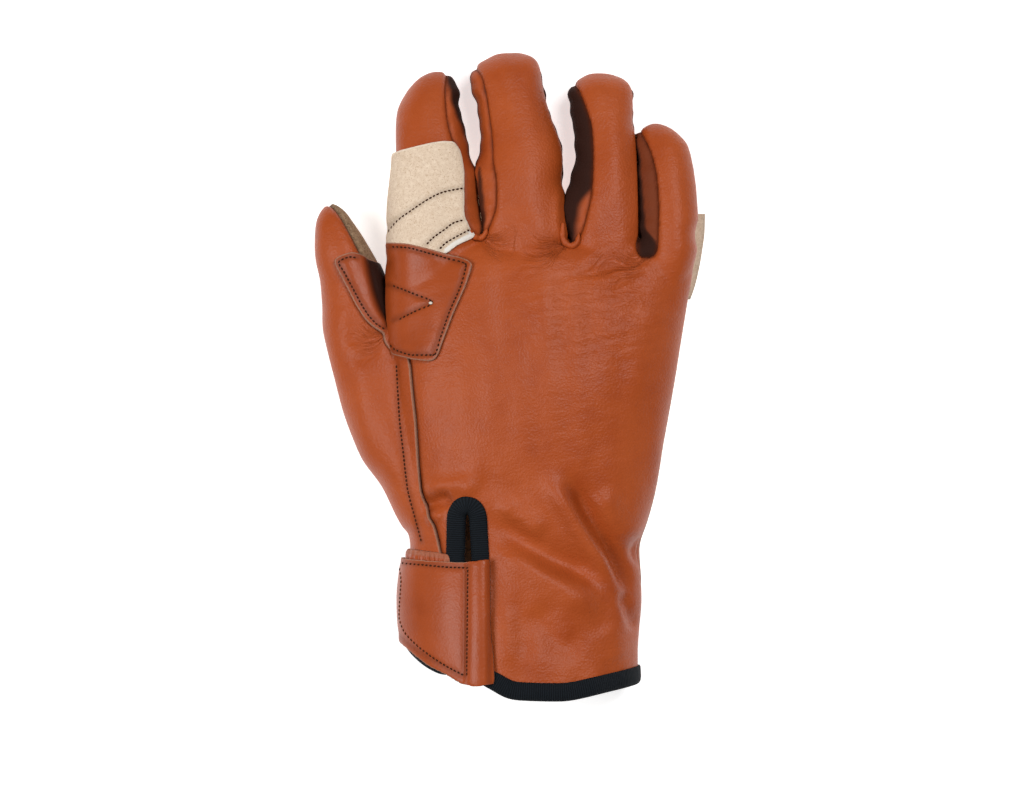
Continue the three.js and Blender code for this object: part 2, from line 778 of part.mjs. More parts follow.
// Finishes
const leather = { color: 0xb2552a, roughness: 0.48, metalness: 0 };
const patchLeather = { color: 0xa64e26, roughness: 0.42, metalness: 0 };
const darkLeather = { color: 0x823619, roughness: 0.5, metalness: 0 };
const suede = { color: 0xdcc4a4, roughness: 0.95, metalness: 0 };
const tape = { color: 0x0d1115, roughness: 0.8, metalness: 0 };

const glove = new THREE.Group();

function addPiece(name, solid, finish) {
  const kept = largest(solid).simplify(flatEnough);
  const { vertProperties, triVerts, numProp } = kept.getMesh();
  const positions = new THREE.BufferAttribute(new Float32Array(vertProperties), numProp);
  const geometry = new THREE.BufferGeometry().setAttribute("position", positions);
  geometry.setIndex(new THREE.BufferAttribute(new Uint32Array(triVerts), 1));
  geometry.computeVertexNormals();
  const mesh = new THREE.Mesh(geometry, new THREE.MeshStandardMaterial(finish));
  mesh.name = name;
  glove.add(mesh);
}

addPiece("back_panel", backPanel(), leather);
addPiece("palm_panel", palmPanel(), leather);
addPiece("thumb_back", thumbBack(), leather);
addPiece("thumb_front", thumbFront(), suede);
gaps.forEach((gap) => addPiece(gap.name, fourchette(gap), darkLeather));
addPiece("index_wrap", indexWrap(), suede);
addPiece("thumb_patch", thumbPatch(), patchLeather);
addPiece("palm_suede", palmSuede(), suede);
addPiece("cuff_tape", cuffTape(), tape);
addPiece("strap_base", strapBase(), patchLeather);
addPiece("wrist_strap", wristStrap(), patchLeather);

// The origin is the middle of the glove's footprint, on the table
const extent = new THREE.Box3().setFromObject(glove);
const middle = extent.getCenter(new THREE.Vector3());
glove.position.set(-middle.x, -middle.y, -extent.min.z);

export default glove;
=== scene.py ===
import math

import bmesh
import bpy
import numpy as np
from mathutils import Matrix, Vector
from mathutils.bvhtree import BVHTree
from mathutils.kdtree import KDTree


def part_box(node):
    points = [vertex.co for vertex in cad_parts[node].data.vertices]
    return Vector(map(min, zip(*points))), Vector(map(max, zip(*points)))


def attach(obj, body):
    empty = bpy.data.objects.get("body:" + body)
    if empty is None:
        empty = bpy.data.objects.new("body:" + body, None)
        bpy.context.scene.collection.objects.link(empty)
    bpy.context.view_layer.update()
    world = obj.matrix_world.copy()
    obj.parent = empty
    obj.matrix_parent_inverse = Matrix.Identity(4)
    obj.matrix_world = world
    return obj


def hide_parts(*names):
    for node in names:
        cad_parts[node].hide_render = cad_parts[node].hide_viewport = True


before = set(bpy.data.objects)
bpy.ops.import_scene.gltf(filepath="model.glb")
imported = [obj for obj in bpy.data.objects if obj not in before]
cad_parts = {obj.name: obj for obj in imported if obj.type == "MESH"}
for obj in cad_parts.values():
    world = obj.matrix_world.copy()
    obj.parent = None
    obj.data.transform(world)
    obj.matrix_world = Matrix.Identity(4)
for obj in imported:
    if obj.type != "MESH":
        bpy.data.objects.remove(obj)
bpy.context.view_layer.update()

# Pattern of the glove in millimetres: y runs from the cuff to the fingertips, x to the little finger, z up.
hand = {"length": 168.0, "width": 113.0, "depth": 44.0, "rest": 1.4}
photo = {"scale": 0.37, "middleX": 540.0, "cuffY": 698.0, "width": 1024, "height": 810}

# The strap's straight end and the cuff's lowest point are at known places of the pattern.
strapEndShare = -0.147
shift = np.array([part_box("wrist_strap")[1].x * 1000 - strapEndShare * hand["width"],
                  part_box("cuff_tape")[0].y * 1000, 0.0])
overFloor = 0.00002  # metres between the table and the lowest points


def px(*places):  # places of the photograph in the pattern's millimetres
    flat = np.array(places, float)
    return (flat - (photo["middleX"], photo["cuffY"])) * (photo["scale"], -photo["scale"])


def curveThrough(xs, ys, at):  # a smooth curve through points, which never overshoots them
    xs, ys, at = np.asarray(xs, float), np.asarray(ys, float), np.asarray(at, float)
    step = np.diff(xs)
    slope = np.diff(ys) / step
    tangent = np.zeros(len(xs))
    rising = slope[:-1] * slope[1:] > 0
    both = np.where(rising, slope[:-1] + slope[1:], 1.0)
    tangent[1:-1] = np.where(rising, 2 * slope[:-1] * slope[1:] / both, 0.0)
    tangent[0], tangent[-1] = slope[0], slope[-1]
    place = np.clip(np.searchsorted(xs, at, side="right") - 1, 0, len(xs) - 2)
    t = np.clip((at - xs[place]) / step[place], 0, 1)
    reach = step[place]
    return (
        ys[place] * (1 + 2 * t) * (1 - t) ** 2 + ys[place + 1] * t * t * (3 - 2 * t)
        + reach * t * (1 - t) * ((1 - t) * tangent[place] - t * tangent[place + 1])
    )


def smoothStep(value, low, high):
    t = np.clip((value - low) / (high - low), 0, 1)
    return t * t * (3 - 2 * t)


def bump(away, reach):  # 1 where away is 0, falling off over the reach
    return np.exp(-((away / reach) ** 2))


def lengthAlong(path):
    return np.concatenate([[0], np.cumsum(np.linalg.norm(np.diff(path, axis=0), axis=1))])


def placesAlong(path, at):  # smooth places at lengths along a path drawn on the plan
    length = lengthAlong(path)
    return np.column_stack([curveThrough(length, path[:, k], at) for k in range(2)])


# Height of the side seams, as shares of the hand's length and depth
sideSeam = {
    "along": [-0.2, 0.3, 0.75, 1.0, 1.12, 1.25, 1.36, 1.45],
    "height": [0.5, 0.46, 0.46, 0.52, 0.49, 0.4, 0.3, 0.24],
}


def seamHeight(y):
    return hand["depth"] * curveThrough(sideSeam["along"], sideSeam["height"], y / hand["length"])


# Sections of the hand: left and right as shares of its width, top and rise as shares of its depth
handRows = {
    "along": [-0.04, 0.1, 0.22, 0.33, 0.39, 0.46, 0.56, 0.67, 0.78, 0.88, 0.95, 0.985, 1.01],
    "left": [-0.415, -0.43, -0.44, -0.425, -0.44, -0.462, -0.482, -0.49, -0.494, -0.494, -0.488, -0.47,
             -0.42],
    "right": [0.325, 0.321, 0.334, 0.325, 0.352, 0.38, 0.405, 0.435, 0.462, 0.486, 0.502, 0.5, 0.45],
    "top": [1.05, 1.03, 1.0, 0.96, 0.97, 0.99, 1.02, 1.03, 1.0, 0.94, 0.87, 0.8, 0.7],
    "rise": [0.0, 0.0, 0.0, 0.02, 0.0, 0.0, 0.0, 0.0, 0.03, 0.09, 0.15, 0.21, 0.3],
}

# Fingers: root as shares of the hand, turn in degrees towards the thumb, sizes in millimetres.
# spread is how far the finger moves aside while the form is joined, so that the gaps stay open.
fingers = {
    "index": {
        "root": (-0.338, 1.009), "turn": 1.0, "length": 63.0, "width": 29.0, "depth": 25.5, "spread": -6.0,
        "along": [-0.45, 0.0, 0.24, 0.46, 0.64, 0.76, 0.87, 0.95, 1.0],
        "side": [0.02, 0.0, -0.04, -0.03, -0.06, -0.08, -0.03, 0.02, 0.04],
        "wide": [1.1, 1.17, 1.06, 0.96, 0.9, 0.82, 0.69, 0.47, 0.17],
        "deep": [1.0, 1.02, 1.0, 0.97, 0.93, 0.87, 0.74, 0.52, 0.2],
    },
    "middle": {
        "root": (-0.046, 1.009), "turn": 5.9, "length": 70.0, "width": 31.5, "depth": 27.0, "spread": -2.0,
        "along": [-0.4, 0.0, 0.22, 0.4, 0.52, 0.64, 0.76, 0.88, 0.95, 1.0],
        "side": [0.0, 0.0, -0.03, 0.02, 0.05, 0.02, -0.01, -0.04, -0.02, 0.0],
        "wide": [0.95, 0.97, 1.0, 1.04, 0.93, 0.85, 0.83, 0.86, 0.72, 0.34],
        "deep": [0.95, 1.0, 0.99, 0.97, 0.94, 0.9, 0.88, 0.82, 0.62, 0.24],
    },
    "ring": {
        "root": (0.213, 0.998), "turn": 1.6, "length": 64.0, "width": 27.5, "depth": 25.0, "spread": 2.0,
        "along": [-0.4, 0.0, 0.2, 0.36, 0.54, 0.66, 0.77, 0.88, 0.95, 1.0],
        "side": [0.0, -0.02, -0.03, 0.01, 0.03, 0.02, 0.01, 0.0, 0.0, 0.0],
        "wide": [0.95, 0.93, 1.0, 0.92, 0.8, 0.79, 0.86, 0.88, 0.72, 0.32],
        "deep": [0.97, 1.0, 1.0, 0.98, 0.94, 0.9, 0.88, 0.82, 0.62, 0.24],
    },
    "little": {
        "root": (0.428, 0.987), "turn": 7.5, "length": 47.5, "width": 22.2, "depth": 22.0, "spread": 6.0,
        "along": [-0.5, 0.0, 0.31, 0.47, 0.62, 0.78, 0.88, 0.95, 1.0],
        "side": [-0.4, 0.0, 0.09, 0.1, 0.11, 0.1, 0.05, 0.01, -0.01],
        "wide": [0.65, 0.91, 0.9, 0.92, 0.9, 0.86, 0.7, 0.49, 0.18],
        "deep": [0.8, 1.08, 1.04, 1.0, 0.96, 0.88, 0.74, 0.52, 0.2],
    },
}
thumb = {
    "root": (-0.36, 0.392), "turn": 17.2, "length": 123.0, "width": 27.0, "depth": 27.0, "spread": 0.0,
    "along": [-0.08, 0.0, 0.13, 0.25, 0.38, 0.5, 0.63, 0.72, 0.79, 0.86, 0.92, 0.97, 1.0],
    "side": [0.3, 0.06, 0.03, -0.08, -0.13, -0.14, -0.15, -0.08, -0.06, -0.08, -0.08, -0.07, -0.05],
    "wide": [0.6, 0.9, 1.04, 1.16, 1.15, 1.08, 1.0, 0.93, 0.83, 0.73, 0.57, 0.39, 0.12],
    "deep": [0.9, 1.16, 1.18, 1.16, 1.1, 1.02, 0.95, 0.9, 0.88, 0.84, 0.74, 0.54, 0.2],
    "height": [0.42, 0.42, 0.42, 0.41, 0.39, 0.37, 0.35, 0.33, 0.32, 0.32, 0.31, 0.31, 0.3],
}
form = {
    "topPower": 2.25, "handBottom": 3.4, "limbBottom": 2.4, "ringStep": 2.5, "handPoints": 72,
    "limbPoints": 40, "voxel": 0.95, "smoothing": 5, "crotch": 1.0, "spreadOver": 7.0,
    "web": {"middle": (-54.0, 124.0, 15.0), "radii": (8.0, 11.0, 7.0)},
    "crotchWeb": {"height": 19.5, "radii": (4.5, 4.0, 6.5)},
}


def limbFrame(limb):
    turn = math.radians(limb["turn"])
    root = np.array([limb["root"][0] * hand["width"], limb["root"][1] * hand["length"]])
    forward = np.array([-math.sin(turn), math.cos(turn)])
    across = np.array([math.cos(turn), math.sin(turn)])
    return root, forward, across


def onLimb(limb, along, side):  # plan place of shares of a limb's length and width
    root, forward, across = limbFrame(limb)
    return root + np.outer(along, forward) * limb["length"] + np.outer(side, across) * limb["width"]


def limbShares(limb, points):  # how far along a limb points are, and how far aside
    root, forward, across = limbFrame(limb)
    away = points[:, :2] - root
    return away @ forward / limb["length"], away @ across / limb["width"]


def spreadAt(limb, y):  # how far aside a limb is held at a height of the pattern
    start = form["crotch"] * hand["length"]
    return limb["spread"] * smoothStep(y, start - 3.0, start + form["spreadOver"])


def sectionRing(centre, across, halfWidth, up, down, bottomPower, points):
    angle = np.linspace(0, 2 * np.pi, points, endpoint=False)
    c, s = np.cos(angle), np.sin(angle)
    power = np.where(s < 0, 2 / bottomPower, 2 / form["topPower"])
    sideways = halfWidth * np.sign(c) * np.abs(c) ** power
    upwards = np.where(s < 0, down, up) * np.sign(s) * np.abs(s) ** power
    return np.column_stack([
        centre[0] + across[0] * sideways, centre[1] + across[1] * sideways, centre[2] + upwards,
    ])


def handRings():
    rows = {name: np.array(values) for name, values in handRows.items()}
    steps = np.arange(rows["along"][0], rows["along"][-1], form["ringStep"] / hand["length"])
    steps = np.append(steps, rows["along"][-1])
    left, right, top, rise = (
        curveThrough(rows["along"], rows[name], steps) for name in ("left", "right", "top", "rise")
    )
    for along, l, r, t, b in zip(steps, left, right, top, rise):
        seam = float(seamHeight(along * hand["length"]))
        centre = (hand["width"] * (l + r) / 2, along * hand["length"], seam)
        up = hand["depth"] * t - seam
        down = seam - hand["depth"] * b - hand["rest"]
        yield sectionRing(
            centre, (1.0, 0.0), hand["width"] * (r - l) / 2, up, down, form["handBottom"], form["handPoints"]
        )


def limbRings(limb):
    steps = np.arange(limb["along"][0], 0.8, form["ringStep"] / limb["length"])
    steps = np.concatenate([steps, np.linspace(0.8, 1.0, 12)])
    side, wide, deep = (curveThrough(limb["along"], limb[name], steps) for name in ("side", "wide", "deep"))
    plan = onLimb(limb, steps, side)
    if "height" in limb:
        heights = hand["depth"] * curveThrough(limb["along"], limb["height"], steps)
    else:
        heights = seamHeight(plan[:, 1])
    plan[:, 0] += spreadAt(limb, plan[:, 1])
    across = limbFrame(limb)[2]
    for place, height, w, d in zip(plan, heights, wide, deep):
        half = limb["depth"] * d / 2
        yield sectionRing(
            (place[0], place[1], height), across, limb["width"] * w / 2, half, half,
            form["limbBottom"], form["limbPoints"],
        )


def addLoft(mesh, rings, isEndless=False):  # a closed skin through rings of equally many points
    rows, loops = [], []
    for ring in rings:
        verts = bmesh.ops.create_circle(mesh, cap_ends=False, radius=1.0, segments=len(ring))["verts"]
        for vert, place in zip(verts, ring):
            vert.co = place
        rows.append(verts)
        loops.append(list(dict.fromkeys(edge for vert in verts for edge in vert.link_edges)))
    for first, second in zip(loops, loops[1:] + loops[:1] * isEndless):
        bmesh.ops.bridge_loops(mesh, edges=first + second)
    if not isEndless:
        bmesh.ops.edgeloop_fill(mesh, edges=loops[0])
        bmesh.ops.edgeloop_fill(mesh, edges=loops[-1])
    return rows


def addBall(mesh, middle, radii, turn=None, **fineness):
    place = Matrix.Translation(middle) @ (turn or Matrix()) @ Matrix.Diagonal((*radii, 1.0))
    make = bmesh.ops.create_icosphere if "subdivisions" in fineness else bmesh.ops.create_uvsphere
    make(mesh, radius=1.0, matrix=place, **fineness)


def addObject(name, data):
    thing = bpy.data.objects.new(name, data)
    bpy.context.scene.collection.objects.link(thing)
    return thing


def verticesOf(mesh):
    flat = np.empty(len(mesh.vertices) * 3)
    mesh.vertices.foreach_get("co", flat)
    return flat.reshape(-1, 3)


def edgesOf(mesh):
    flat = np.empty(len(mesh.edges) * 2, dtype=np.int32)
    mesh.edges.foreach_get("vertices", flat)
    return flat.reshape(-1, 2)


def evenOut(values, edges, times, share=0.5):  # moves each point's value towards its neighbours'
    counts = np.bincount(edges.ravel(), minlength=len(values))[:, None]
    for _ in range(times):
        total = np.zeros_like(values)
        for column in range(values.shape[1]):
            total[:, column] = (
                np.bincount(edges[:, 0], values[edges[:, 1], column], minlength=len(values))
                + np.bincount(edges[:, 1], values[edges[:, 0], column], minlength=len(values))
            )
        values = values + share * (total / np.maximum(counts, 1) - values)
    return values


# Gaps between the fingers. left and right are the upper seams of the two fingers where the photograph
# shows them; a seam that hides on the finger's side is a share of half its depth. middle is the gap itself.
gaps = {
    "fourchette_index_middle": {
        "fingers": ("index", "middle"),
        "left": px((482, 244), (476, 238), (468, 228), (463, 213), (463, 177), (460, 158), (452, 136),
                   (448, 118), (446, 89), (447, 72), (453, 60), (475, 45)),
        "right": px((480, 244), (486, 232), (491, 222), (496, 206), (496, 184), (492, 162), (491, 144),
                    (488, 118), (481, 78), (471, 62), (455, 45)),
        "middle": px((485, 290), (483.8, 237), (479, 199), (475, 167), (474, 150), (473.4, 130),
                     (467.3, 99), (460, 44)),
        "crotch": 242, "closeY": [60, 148, 180, 235, 250], "closeLeft": [0, 0, 2.4, 2.6, 0],
        "closeRight": [0, 0, 2.4, 2.6, 0], "web": 231,
    },
    "fourchette_middle_ring": {
        "fingers": ("middle", "ring"),
        "left": 0.12,
        "right": px((568, 250), (579, 237), (586, 216), (591, 191), (592, 156), (591, 130), (584, 105),
                    (574, 84), (560, 66)),
        "middle": px((567.5, 290), (568.7, 244), (563.8, 212), (567.5, 180), (569.3, 149), (564.4, 130),
                     (557.7, 99), (552, 44)),
        "crotch": 249, "closeY": [60, 178, 204, 240, 250], "closeLeft": [0, 0, 2.2, 2.6, 0],
        "closeRight": [0, 0, 2.6, 2.8, 0], "web": 240,
    },
    "fourchette_ring_little": {
        "fingers": ("ring", "little"),
        "left": 0.12,
        "right": px((654, 262), (656, 240), (657, 210), (656, 185), (652, 160), (645, 142), (637, 128),
                    (620, 116)),
        "middle": px((638, 290), (637.5, 244), (637.4, 199), (636.3, 153), (634.5, 126), (636.3, 44)),
        "crotch": 258, "closeY": [60, 118, 140, 235, 255], "closeLeft": [0, 0, 2.2, 2.6, 0],
        "closeRight": [0, 0, 4.2, 4.4, 0], "web": 246,
    },
}
besideThumb = px((380, 260), (376, 245), (366, 228), (352, 205), (345, 190))
strips = {
    "lowerSeam": 0.55, "pressGap": 0.04, "tipAlong": [-0.3, 0.72, 0.88, 0.95],
    "tipSide": [0.0, 0.06, 0.24, 0.6],
}


def xAt(path, y):  # where a path drawn on the plan is at a height of the pattern
    ordered = path[np.argsort(path[:, 1])]
    return curveThrough(ordered[:, 1], ordered[:, 0], y)


def upperDepth(limb, along):
    return limb["depth"] * curveThrough(limb["along"], limb["deep"], along) / 2


def gapField(gap, points):  # millimetres inside the side strips of one gap between two fingers
    leftLimb, rightLimb = (fingers[name] for name in gap["fingers"])
    x, y, z = points.T
    seam = seamHeight(y)
    middle = xAt(gap["middle"], y)
    isLeft = x < middle
    leftAlong, leftSide = limbShares(leftLimb, points)
    rightAlong, _ = limbShares(rightLimb, points)
    if isinstance(gap["left"], float):
        tip = curveThrough(strips["tipAlong"], strips["tipSide"], leftAlong)
        under = seam + gap["left"] * upperDepth(leftLimb, leftAlong) - z
        onLeft = np.minimum(under, (leftSide - tip) * leftLimb["width"])
    else:
        onLeft = x - xAt(gap["left"], y)
    onRight = xAt(gap["right"], y) - x
    deep = np.where(isLeft, upperDepth(leftLimb, leftAlong), upperDepth(rightLimb, rightAlong))
    overLower = z - (seam - strips["lowerSeam"] * deep)
    pastCrotch = y - px((0, gap["crotch"]))[0, 1]
    across = np.where(isLeft, onLeft, onRight)
    if not isinstance(gap["left"], float):
        across = np.minimum(onLeft, onRight)
    return np.minimum(np.minimum(across, overLower), pastCrotch)


# Joins the hand, the fingers, the thumb and the web beside the thumb into one smooth skin
def makeForm():
    mesh = bmesh.new()
    addLoft(mesh, list(handRings()))
    for limb in [*fingers.values(), thumb]:
        addLoft(mesh, list(limbRings(limb)))
    addBall(mesh, form["web"]["middle"], form["web"]["radii"], subdivisions=3)
    for gap in gaps.values():
        y = px((0, gap["web"]))[:, 1]
        held = sum(spreadAt(fingers[name], y) for name in gap["fingers"]) / 2
        middle = ((xAt(gap["middle"], y) + held)[0], y[0], form["crotchWeb"]["height"])
        addBall(mesh, middle, form["crotchWeb"]["radii"], subdivisions=3)
    bmesh.ops.recalc_face_normals(mesh, faces=mesh.faces)
    rough = bpy.data.meshes.new("roughForm")
    mesh.to_mesh(rough)
    mesh.free()
    holder = addObject("roughForm", rough)
    remesh = holder.modifiers.new("join", "REMESH")
    remesh.mode = "VOXEL"
    remesh.voxel_size = form["voxel"]
    graph = bpy.context.evaluated_depsgraph_get()
    joined = bpy.data.meshes.new_from_object(holder.evaluated_get(graph))
    bpy.data.objects.remove(holder)
    bpy.data.meshes.remove(rough)
    points = verticesOf(joined)
    edges = edgesOf(joined)
    points = evenOut(points, edges, form["smoothing"])
    # The fingers go back beside each other, and press flat where they touch.
    lines = [xAt(gap["middle"], points[:, 1]) for gap in gaps.values()]
    order = list(fingers.values())
    held = [spreadAt(limb, points[:, 1]) for limb in order]
    between = [line + (a + b) / 2 for line, a, b in zip(lines, held, held[1:])]
    finger = sum((points[:, 0] > line).astype(int) for line in between)
    isThumb = points[:, 0] < xAt(besideThumb, points[:, 1])
    points[:, 0] -= np.where(isThumb, 0.0, np.choose(finger, held))
    finger[isThumb] = -1
    crotch = form["crotch"] * hand["length"]
    isFinger = smoothStep(points[:, 1], crotch - 4.0, crotch)
    pixelY = photo["cuffY"] - points[:, 1] / photo["scale"]
    for number, (gap, line) in enumerate(zip(gaps.values(), lines)):
        leftSide = limbShares(order[number], points)[1]
        rightSide = limbShares(order[number + 1], points)[1]
        towards = curveThrough(gap["closeY"], gap["closeLeft"], pixelY) * smoothStep(leftSide, 0.0, 0.5)
        points[:, 0] += np.where(finger == number, towards, 0.0)
        towards = curveThrough(gap["closeY"], gap["closeRight"], pixelY) * smoothStep(-rightSide, 0.0, 0.5)
        points[:, 0] -= np.where(finger == number + 1, towards, 0.0)
        press = strips["pressGap"] * isFinger
        points[:, 0] = np.where(finger == number, np.minimum(points[:, 0], line - press), points[:, 0])
        points[:, 0] = np.where(finger == number + 1, np.maximum(points[:, 0], line + press), points[:, 0])
    joined.vertices.foreach_set("co", points.ravel())
    joined.update()
    return joined


print("form: joining the hand and the fingers")
formMesh = makeForm()
formPoints = verticesOf(formMesh)
formEdges = edgesOf(formMesh)
formNormals = np.array([tuple(vector.vector) for vector in formMesh.vertex_normals])
formNormals = evenOut(formNormals, formEdges, 4)
formNormals /= np.linalg.norm(formNormals, axis=1)[:, None]
formFaces = [tuple(polygon.vertices) for polygon in formMesh.polygons]
formTree = BVHTree.FromPolygons([tuple(point) for point in formPoints], formFaces)
print("form:", len(formPoints), "points")


def pathDistance(points, line):  # distance to a path on the plan, and how far along it the nearest place is
    best = np.full(len(points), 1e9)
    share = np.zeros(len(points))
    lengths = np.linalg.norm(np.diff(line, axis=0), axis=1)
    done = 0.0
    for a, b, length in zip(line, line[1:], lengths):
        t = np.clip(((points[:, :2] - a) @ (b - a)) / length ** 2, 0, 1)
        away = np.linalg.norm(points[:, :2] - (a + t[:, None] * (b - a)), axis=1)
        nearer = away < best
        best[nearer] = away[nearer]
        share[nearer] = (done + t[nearer] * length) / lengths.sum()
        done += length
    return best, share


def insideOutline(points, outline):  # millimetres inside a closed outline drawn on the plan
    x, y = points[:, 0], points[:, 1]
    closed = np.vstack([outline, outline[:1]])
    away, _ = pathDistance(points, closed)
    isInside = np.zeros(len(points), bool)
    for (ax, ay), (bx, by) in zip(closed, closed[1:]):
        crosses = (ay > y) != (by > y)
        run = np.where(by == ay, 1.0, by - ay)
        isInside ^= crosses & (x < (bx - ax) * (y - ay) / run + ax)
    return np.where(isInside, away, -away)


# Seams of the panels
radialSeam = px((388, 20), (388, 339), (399, 348), (408, 356), (412, 389), (416, 424), (418, 459),
                (421, 491), (426, 508), (433, 522), (439, 546), (451, 600), (465, 643), (466, 760))
palmSeam = px((388, 20), (388, 339), (378, 351), (380, 400), (392, 450), (408, 500), (418, 545), (425, 600),
              (428, 760))
thumbSeam = {
    "along": [0.557, 0.652, 0.773, 0.895, 0.994, 1.085],
    "side": [0.173, 0.152, 0.113, 0.04, -0.044, -0.223],
    "lean": 0.3, "height": 0.32, "limit": -56.2,
}
cuff = {
    "edge": px((180, 560), (395, 640), (425, 664), (447, 674), (488, 684), (515, 696.6), (560, 698),
               (600, 691), (645, 682), (900, 640)),
    "slitMiddle": px((467.3, 514), (468, 557), (466, 640), (466, 665), (466.5, 683), (467, 760)),
    "slitY": [514, 557, 640, 665, 683, 697, 760],
    "slitHalf": [1.4, 3.2, 6.5, 8.0, 10.5, 16.0, 60.0],
    "fold": 1.1,
}


def cuffField(points):  # millimetres inside the edge of the cuff and of its slit
    x, y, z = points.T
    edge = cuff["edge"]
    fromEdge = y - curveThrough(edge[:, 0], edge[:, 1], x)
    pixelY = photo["cuffY"] - y / photo["scale"]
    half = photo["scale"] * curveThrough(cuff["slitY"], cuff["slitHalf"], pixelY)
    top = px((0, cuff["slitY"][0]))[0, 1]
    aside = np.hypot(x - xAt(cuff["slitMiddle"], y), np.maximum(0, y - top))
    fromSlit = np.where(z > seamHeight(y), aside - half, 99.0)
    return np.minimum(fromEdge, fromSlit)


def thumbFrontField(points):
    x, y, z = points.T
    line = onLimb(thumb, thumbSeam["along"], thumbSeam["side"])
    leant = x - thumbSeam["lean"] * (z - thumbSeam["height"] * hand["depth"])
    beside = leant - xAt(line, y)
    return np.minimum(np.minimum(beside, thumbSeam["limit"] - x), np.minimum(y - line[0, 1], line[-1, 1] - y))


# What each panel keeps: positive inside it, in millimetres from its edge
x, y, z = formPoints.T
overSeam = z - seamHeight(y)
gapFields = {name: gapField(gap, formPoints) for name, gap in gaps.items()}
anyGap = np.max(list(gapFields.values()), axis=0)
cuffInside = cuffField(formPoints)
leatherInside = cuffInside - cuff["fold"]
thumbInside = thumbFrontField(formPoints)
pastRadial = x - xAt(radialSeam, y)
pastPalm = x - xAt(palmSeam, y)
seamGap = -0.08


def allOf(*fields):
    return np.min(fields, axis=0)


backField = allOf(overSeam, pastRadial, -anyGap, leatherInside) - seamGap
palmField = allOf(-overSeam, pastPalm, -anyGap, -thumbInside, leatherInside) - seamGap
thumbBackField = allOf(np.where(overSeam > 0, -pastRadial, -pastPalm), -thumbInside, leatherInside) - seamGap

outlines = {
    "wrap": px((340, 158), (397, 154), (417, 148.5), (433, 145), (443, 143.5), (453, 144), (459, 153),
               (470, 160), (476, 205), (478, 230), (476, 237), (465, 241.5), (455, 247), (447, 255),
               (427, 251.5), (409, 247), (391, 245.5), (340, 245.5)),
    "patch": px((336.5, 264), (335, 260), (339, 257), (351, 253), (358, 255), (367, 259), (377, 263),
                (384, 262), (387, 243.5), (391, 243), (409, 244.5), (427, 249), (447, 255), (469, 263),
                (473, 266), (472.5, 270), (467, 287), (455, 314), (445, 341), (439, 358), (436, 361),
                (431, 361.8), (415, 360), (397, 355), (387, 348), (383, 341), (383, 335), (375, 329),
                (365, 320), (356, 305), (348.5, 289), (340, 272)),
    "suede": px((479, 362), (482, 270), (494, 249), (632, 249), (662, 253), (670, 217), (711, 217),
                (711, 357), (668, 494), (632, 607), (525, 639), (439, 621), (427, 507), (424, 380)),
    "strapBase": px((330, 550), (406, 551), (414, 548.5), (432, 550.5), (450, 553), (452, 560), (452, 640),
                    (330, 620)),
    "strap": px((300, 556), (402, 557), (422, 559), (464, 561), (485, 559), (491.5, 556), (492, 620),
                (496.5, 681), (478, 683.5), (464, 681), (450, 672), (436, 665), (423, 655), (408, 641),
                (396, 628), (300, 600)),
}
wrapField = allOf(insideOutline(formPoints, outlines["wrap"]), -anyGap, x - xAt(besideThumb, y)) - seamGap
patchField = allOf(insideOutline(formPoints, outlines["patch"]), z - 5.3)
suedeField = allOf(insideOutline(formPoints, outlines["suede"]), -overSeam - 8.0)
strapBaseField = allOf(insideOutline(formPoints, outlines["strapBase"]), z - 8.8)
strapField = allOf(insideOutline(formPoints, outlines["strap"]), z - 8.8)


def setLook(mesh, name, values):  # a number or a vector for each point of a sheet
    isVector = values.ndim == 2
    made = mesh.attributes.new(name, "FLOAT_VECTOR" if isVector else "FLOAT", "POINT")
    made.data.foreach_set("vector" if isVector else "value", values.astype(np.float32).ravel())


def cutSheet(name, field):  # the part of the form where the field is positive, cut cleanly along its edge
    points = formPoints.copy()
    field = field.copy()
    a, b = formEdges.T
    crossing = field[a] * field[b] < 0
    a, b = a[crossing], b[crossing]
    t = field[a] / (field[a] - field[b])
    nearA = t < 0.5
    vertex = np.where(nearA, a, b)
    target = formPoints[a] + t[:, None] * (formPoints[b] - formPoints[a])
    move = np.where(nearA, t, 1 - t)
    order = np.argsort(move, kind="stable")
    first, where = np.unique(vertex[order], return_index=True)
    points[first] = target[order][where]
    field[first] = 0.0
    sheet = formMesh.copy()
    sheet.name = name
    sheet.vertices.foreach_set("co", points.ravel())
    setLook(sheet, "outward", formNormals)
    setLook(sheet, "rest", points)
    mesh = bmesh.new()
    mesh.from_mesh(sheet)
    mesh.verts.ensure_lookup_table()
    onEdge = [mesh.verts[int(number)] for number in np.flatnonzero(field == 0)]
    bmesh.ops.connect_verts(mesh, verts=onEdge)
    mesh.verts.ensure_lookup_table()
    outside = [mesh.verts[int(number)] for number in np.flatnonzero(field < 0)]
    bmesh.ops.delete(mesh, geom=outside, context="VERTS")
    loose = [vert for vert in mesh.verts if not vert.link_faces]
    bmesh.ops.delete(mesh, geom=loose, context="VERTS")
    bmesh.ops.remove_doubles(mesh, verts=mesh.verts, dist=0.22)
    dropCrumbs(mesh)
    mesh.to_mesh(sheet)
    mesh.free()
    return sheet


crumb = 150  # a cut can leave crumbs of fewer points than this


def dropCrumbs(mesh):
    left = set(mesh.verts)
    groups = []
    while left:
        start = left.pop()
        group, queue = [start], [start]
        while queue:
            for edge in queue.pop().link_edges:
                for vert in edge.verts:
                    if vert in left:
                        left.discard(vert)
                        group.append(vert)
                        queue.append(vert)
        groups.append(group)
    for group in groups:
        if len(group) < crumb:
            bmesh.ops.delete(mesh, geom=group, context="VERTS")


def readVectors(mesh, attribute):
    flat = np.empty(len(mesh.vertices) * 3, dtype=np.float32)
    mesh.attributes[attribute].data.foreach_get("vector", flat)
    return flat.reshape(-1, 3).astype(float)


